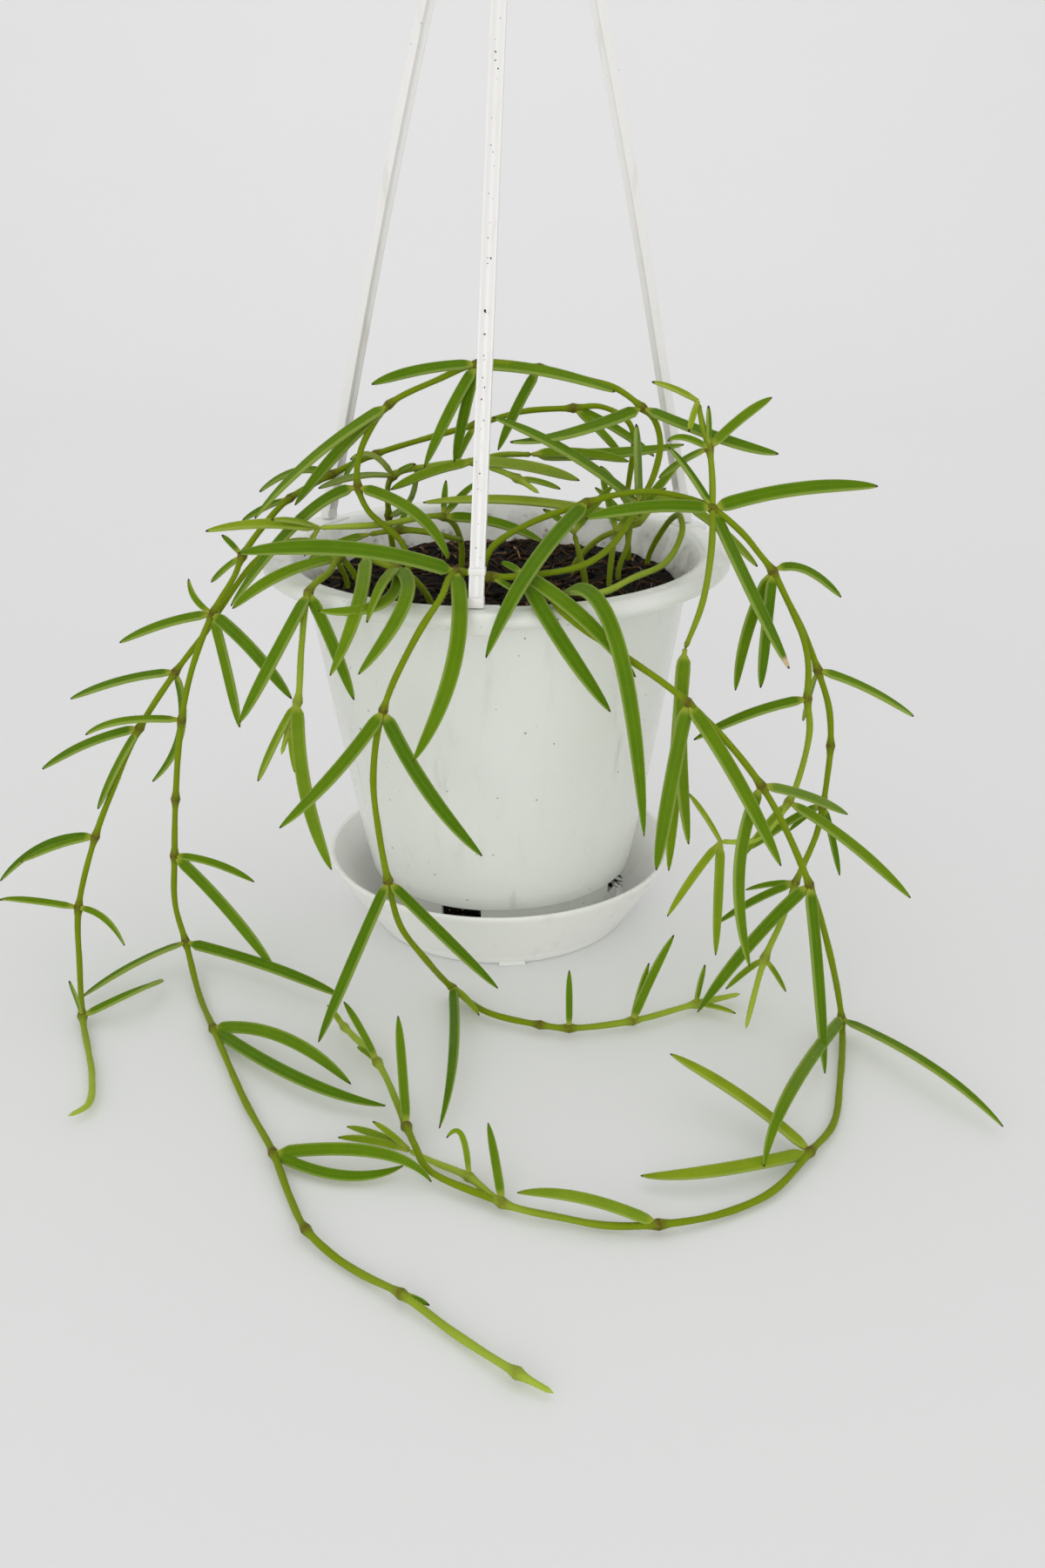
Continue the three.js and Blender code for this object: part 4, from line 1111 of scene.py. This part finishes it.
def wallRadius(z):
    share = max(0.0, (z - pot["lowZ"]) / (pot["highZ"] - pot["lowZ"]))
    return pot["lowRadius"] + (pot["highRadius"] - pot["lowRadius"]) * share ** pot["bend"]


# 1 on the inner wall above the peat, fading out towards the lip
def markInside(mesh):
    inside = []
    for vertex in mesh.vertices:
        x, y, z = vertex.co / mm
        inwards = -(vertex.normal.x * x + vertex.normal.y * y) / max(math.hypot(x, y), 1)
        fade = min(1.0, max(0.0, (pot["stainTop"] - z) / pot["stainFade"]))
        inside.append(fade if inwards > pot["inwards"] and z > pot["stainFrom"] else 0.0)
    mesh.attributes.new("inside", "FLOAT", "POINT").data.foreach_set("value", inside)


def makePot():
    first = pot["wallStart"]
    heights = [first + (pot["highZ"] - first) * k / pot["wallSteps"] for k in range(pot["wallSteps"] + 1)]
    foot = pot["footRadius"]
    corners = [
        (0, pot["bottom"], 0), (foot - 1.5, pot["bottom"], 0.6), (foot, pot["bottom"] + 1.5, 0.6),
        (foot + pot["footLean"], pot["footTop"], 0.5),
        *((wallRadius(z), z, 0.6 if k == 0 else 0) for k, z in enumerate(heights)),
        *pot["lip"],
        *((wallRadius(z) - pot["wall"], z + pot["insideRise"], 0) for z in reversed(heights)),
        (foot + pot["footLean"] - pot["wall"], pot["footTop"] + pot["insideRise"], 0),
        (foot - pot["wall"], pot["bottom"] + pot["floor"], 1.0), (0, pot["bottom"] + pot["floor"], 0),
    ]
    piece = giveObject("hanging_pot", latheMesh("pot", softened(corners), pot["sides"]))
    angles = [arm["footAngle"] + 360 / arm["count"] * k for k in range(arm["count"])]
    seat = pot["height"] + boss["rise"] - boss["size"][2] / 2
    bosses = []
    for angle in angles:
        place = around(angle, boss["circle"], seat)
        bosses.append(boxMesh("boss", boss["size"], angle, place, boss["edge"]))
    combine(piece, bosses, "UNION")
    cuts = []
    for k in range(slot["count"]):
        angle = slot["firstAngle"] + 360 / slot["count"] * k
        place = around(angle, pot["footRadius"], (slot["high"] + slot["low"]) / 2)
        size = (slot["width"], slot["depth"], slot["high"] - slot["low"])
        cuts.append(boxMesh("cut", size, angle, place, 0.9))
    combine(piece, cuts, "DIFFERENCE")
    markInside(piece.data)
    finishPlastic(piece, materials["pot"], ["pot"])


def makeSaucer():
    piece = giveObject("drip_saucer", latheMesh("saucer", softened(saucer["profile"]), saucer["sides"]))
    tab = saucer["tab"]
    place = Vector((tab["x"], tab["y"], tab["z"]))
    combine(piece, [boxMesh("tab", tab["size"], tab["angle"], place, tab["edge"])], "UNION")
    finishPlastic(piece, materials["saucer"], ["saucer"])


# an outline carried along points, its own y towards face
def sweptMesh(name, outline, route, face):
    builder = bmesh.new()
    rings = []
    for k, point in enumerate(route):
        ahead = Vector(route[min(k + 1, len(route) - 1)]) - Vector(route[max(k - 1, 0)])
        tangent = ahead.normalized()
        side = face.cross(tangent).normalized()
        up = tangent.cross(side)
        rings.append([builder.verts.new((Vector(point) + side * x + up * y) * mm) for x, y in outline])
    count = len(outline)
    for low, high in zip(rings, rings[1:]):
        for k in range(count):
            nextOne = (k + 1) % count
            builder.faces.new((low[k], low[nextOne], high[nextOne], high[k]))
    builder.faces.new(rings[0][::-1])
    builder.faces.new(rings[-1])
    bmesh.ops.recalc_face_normals(builder, faces=builder.faces)
    mesh = bpy.data.meshes.new(name)
    builder.to_mesh(mesh)
    builder.free()
    return mesh


def armRoute(angle):
    foot = around(angle, arm["circle"], pot["height"] + boss["rise"] + arm["clearance"])
    head = around(angle, arm["headCircle"], hub["z"] - arm["headGap"]) + Vector((hub["x"], 0, 0))
    middle = foot.lerp(head, arm["bowAt"]) + around(angle, arm["bow"], 0)
    route, marks = smoothRoute([foot + Vector((0, 0, arm["footGap"])), middle, head], arm["step"])
    return foot, route


def makeArm(place, angle):
    foot, route = armRoute(angle)
    w, d, r = arm["width"] / 2, arm["depth"] / 2, arm["rib"] / 2
    edge = arm["edge"]
    corners = [
        (-w, -d, edge), (-w + r, -d, edge), (-r, -r, edge), (r, -r, edge), (w - r, -d, edge), (w, -d, edge),
        (w, d, edge), (w - r, d, edge), (r, r, edge), (-r, r, edge), (-w + r, d, edge), (-w, d, edge),
    ]
    ring = softened([corners[-1], *corners, corners[0]], 3)[1:-1]
    rod = sweptMesh("rod", [tuple(p) for p in ring], route, around(angle, 1, 0))
    piece = giveObject("hanger_rod_" + place, rod)
    at = Vector(route[round(arm["collarAt"] * (len(route) - 1))])
    plugPlace = foot + Vector((0, 0, arm["plug"][2] / 2))
    collar = boxMesh("collar", arm["collar"], angle, at, arm["collarEdge"])
    plug = boxMesh("plug", arm["plug"], angle, plugPlace, arm["plugEdge"])
    combine(piece, [collar, plug], "UNION")
    finishPlastic(piece, materials["hanger"], ["hanger_arm_" + place], 30)


def makeHook():
    piece = giveObject("hub_and_hook", latheMesh("hub", softened(hub["profile"]), hub["sides"]))
    base = hook["base"]
    centre = base + hook["neck"] + hook["radius"]
    points = [(0, 0, base), (0, 0, base + hook["neck"] * hook["neckBend"])]
    first, last, turn = hook["turns"]
    for degrees in range(first, last + 1, turn):
        a = math.radians(degrees)
        points.append((hook["radius"] * math.sin(a), 0, centre - hook["radius"] * math.cos(a)))
    route, marks = smoothRoute(points, hook["step"])
    thick = np.full(len(route), hook["wire"] * mm)
    tube = giveObject("wire", routeMesh("wire", [{"points": route * mm, "values": {"thick": thick}}]))
    bake(tube, trees["tube"], {"Sides": hook["sides"], "Material": materials["hanger"]})
    wire = tube.data.copy()
    bpy.data.objects.remove(tube)
    combine(piece, [wire], "UNION")
    piece.data.transform(Matrix.Translation((hub["x"] * mm, 0, 0)))
    finishPlastic(piece, materials["hanger"], ["hanger_hook"])


makePot()
makeSaucer()
for k, place in enumerate(("front", "right", "left")):
    makeArm(place, arm["footAngle"] + 360 / arm["count"] * k)
makeHook()
print("plastic pieces made")


# the peat: a rough top, its side against the pot, crumbs and fibres
soil = {
    "top": 121, "edgeDrop": 1, "gap": 0.3, "rings": 46, "sides": 200, "lump": 2.3, "lumpScale": 14.0,
    "grain": 0.9, "grainScale": 4.2, "sideSteps": 7, "sideEnd": 3, "edgeStart": 52, "edgeReach": 8,
}
crumbs = {"count": 760, "size": (0.5, 3.4), "reach": 60.0}
rootlets = {
    "slots": [(72, 9), (-18, 5)], "spread": 6, "swing": (-2.6, 0.6), "heights": (14.6, 18.6),
    "climb": (-1.0, 1.1), "start": 40.6, "reach": 4.6, "thick": (0.14, 0.34), "tone": 0.12,
}
fibres = {
    "count": 420, "length": (5.0, 17.0), "thick": (0.15, 0.6), "reach": 60.0, "startShare": 0.93,
    "bend": 0.25, "wander": 0.15, "points": 7, "lift": (0.3, 0.8), "step": 1.2,
}


def soilHeight(x, y):
    radius = math.hypot(x, y)
    edge = min(1.0, max(0.0, (radius - soil["edgeStart"]) / soil["edgeReach"]))
    lump = noise.noise(Vector((x, y, 3.0)) / soil["lumpScale"]) * soil["lump"]
    grain = noise.noise(Vector((x, y, 9.0)) / soil["grainScale"]) * soil["grain"]
    return soil["top"] - soil["edgeDrop"] * edge + lump + grain


def makeSoil():
    gap = soil["gap"]
    foot = pot["footRadius"]
    side = [(foot - pot["wall"] - gap, pot["bottom"] + pot["floor"] + gap),
            (foot + pot["footLean"] - pot["wall"] - gap, pot["footTop"] + pot["insideRise"] + gap)]
    first = pot["wallStart"]
    for k in range(soil["sideSteps"] + 1):
        z = first + (soil["top"] - soil["sideEnd"] - first) * k / soil["sideSteps"]
        side.append((wallRadius(z) - pot["wall"] - gap, z + pot["insideRise"] + gap))
    outer = side[-1][0]
    outline = [(0, side[0][1]), *side]
    flat = [(outer * (1 - k / soil["rings"]), soil["top"]) for k in range(soil["rings"] + 1)]
    mesh = latheMesh("peat", [*outline, *flat], soil["sides"])
    for vertex in mesh.vertices:
        x, y, z = vertex.co / mm
        if z > soil["top"] - 0.5:
            vertex.co.z = soilHeight(x, y) * mm
    piece = giveObject("peat_fill", mesh)
    mesh.shade_smooth()
    draw = random.Random(71)
    tone = mesh.attributes.new("tone", "FLOAT", "POINT")
    tone.data.foreach_set("value", [draw.random() ** 2 * 0.6 for vertex in mesh.vertices])
    mesh.materials.append(materials["peat"])
    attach(piece, body)
    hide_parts("soil")


# where the lumps on the peat lie, each (x, y, z, size)
def peatSpots(look, draw):
    spots = []
    for k in range(look["count"]):
        radius = look["reach"] * math.sqrt(draw.random())
        turn = draw.uniform(0, 2 * math.pi)
        x, y = radius * math.cos(turn), radius * math.sin(turn)
        low, high = look["size"]
        size = low + (high - low) * draw.random() ** 3
        spots.append((x, y, soilHeight(x, y) + size * 0.25, size))
    return spots


def makeCrumbs(name, spots, draw):
    builder = bmesh.new()
    tones = []
    for k, (x, y, z, size) in enumerate(spots):
        place = Vector((x, y, z)) * mm
        turn = draw.uniform(0, 6.28)
        axis = Vector((draw.random(), draw.random(), 0.3)).normalized()
        spin = Matrix.Rotation(turn, 4, axis)
        wide, high = draw.uniform(0.5, 1), draw.uniform(0.4, 0.9)
        squash = Matrix.Diagonal((size * mm, size * mm * wide, size * mm * high, 1))
        made = bmesh.ops.create_icosphere(builder, subdivisions=2, radius=0.5,
                                          matrix=Matrix.Translation(place) @ spin @ squash)["verts"]
        for vertex in made:
            away = (vertex.co - place) / mm
            vertex.co += away * mm * 0.35 * noise.noise(away * 2.2 / size + Vector((k, 0, 0)))
        tones.extend([draw.random()] * len(made))
    mesh = bpy.data.meshes.new(name)
    builder.to_mesh(mesh)
    builder.free()
    mesh.shade_smooth()
    mesh.attributes.new("tone", "FLOAT", "POINT").data.foreach_set("value", tones)
    mesh.materials.append(materials["peat"])
    piece = giveObject(name, mesh)
    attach(piece, body)


def layStrands(name, routes):
    piece = giveObject(name, routeMesh(name, routes))
    bake(piece, trees["tube"], {"Sides": 5, "Material": materials["peat"]})
    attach(piece, body)


def makeFibres(look):
    draw = random.Random(73)
    routes = []
    for k in range(look["count"]):
        radius = look["reach"] * look["startShare"] * math.sqrt(draw.random())
        turn = draw.uniform(0, 2 * math.pi)
        x, y = radius * math.cos(turn), radius * math.sin(turn)
        length = draw.uniform(*look["length"])
        way = draw.uniform(0, 2 * math.pi)
        bend = draw.uniform(-look["bend"], look["bend"])
        points = []
        for j in range(look["points"]):
            if math.hypot(x, y) > look["reach"]:
                break
            points.append((x, y, soilHeight(x, y) + draw.uniform(*look["lift"])))
            way += bend + draw.uniform(-look["wander"], look["wander"])
            x += length / (look["points"] - 1) * math.cos(way)
            y += length / (look["points"] - 1) * math.sin(way)
        if len(points) < 3:
            continue
        route, marks = smoothRoute(points, look["step"])
        thick = draw.uniform(*look["thick"]) * np.linspace(1, 0.5, len(route))
        tone = np.full(len(route), 0.5 + 0.5 * draw.random())
        routes.append({"points": route * mm, "values": {"thick": thick * mm, "tone": tone}})
    layStrands("peat_fibres", routes)


# roots that stand out of the slots in view
def makeRootlets(look):
    draw = random.Random(74)
    routes = []
    for angle, count in look["slots"]:
        for k in range(count):
            turn = angle + draw.uniform(-look["spread"], look["spread"])
            swing = draw.uniform(*look["swing"])
            z = draw.uniform(*look["heights"])
            climb = draw.uniform(*look["climb"])
            points = []
            for j in range(4):
                radius = look["start"] + look["reach"] * j / 3
                points.append(tuple(around(turn + swing * j, radius, z + climb * j)))
            route, marks = smoothRoute(points, 0.7)
            thick = draw.uniform(*look["thick"]) * np.linspace(1, 0.4, len(route))
            tone = np.full(len(route), look["tone"] * draw.random())
            routes.append({"points": route * mm, "values": {"thick": thick * mm, "tone": tone}})
    layStrands("slot_roots", routes)


# dirt that lies in the groove of the front rod and on the lip, and peat at the two slots in view
def dirtSpots(look, draw):
    spots = []
    foot, route = armRoute(arm["footAngle"])
    outwards = around(arm["footAngle"], arm["rib"] / 2, 0)
    for k in range(look["groove"]):
        at = int(draw.uniform(*look["grooveShare"]) * (len(route) - 2))
        place = Vector(route[at]).lerp(Vector(route[at + 1]), draw.random()) + outwards
        aside = draw.uniform(-look["grooveHalf"], look["grooveHalf"])
        spots.append((place.x + aside, place.y, place.z, draw.uniform(*look["grooveSize"])))
    for angle, radius, z, size in look["lip"]:
        spots.append((*around(angle, radius, z), size))
    for angle in look["slotAngles"]:
        for k in range(look["perSlot"]):
            turn = angle + draw.uniform(-look["slotSpread"], look["slotSpread"])
            place = around(turn, draw.uniform(*look["slotRadius"]), draw.uniform(*look["slotHeights"]))
            spots.append((*place, draw.uniform(*look["slotSize"])))
    return spots


dirt = {
    "groove": 90, "grooveShare": (0.03, 0.9), "grooveHalf": 1.3, "grooveSize": (0.25, 0.75),
    "slotAngles": (-18, 72), "perSlot": 70, "slotSpread": 9, "slotRadius": (40.6, 41.8),
    "slotHeights": (13.8, 19.0), "slotSize": (0.6, 2.0),
    "lip": [(-2, 77.0, 129.5, 1.4), (-1, 76.9, 129.0, 0.8), (14, 77.2, 130.6, 0.7), (-24, 76.6, 128.6, 0.6)],
}
makeSoil()
crumbDraw = random.Random(72)
makeCrumbs("peat_crumbs", peatSpots(crumbs, crumbDraw), crumbDraw)
makeCrumbs("stray_crumbs", dirtSpots(dirt, crumbDraw), crumbDraw)
makeFibres(fibres)
makeRootlets(rootlets)
print("peat made")
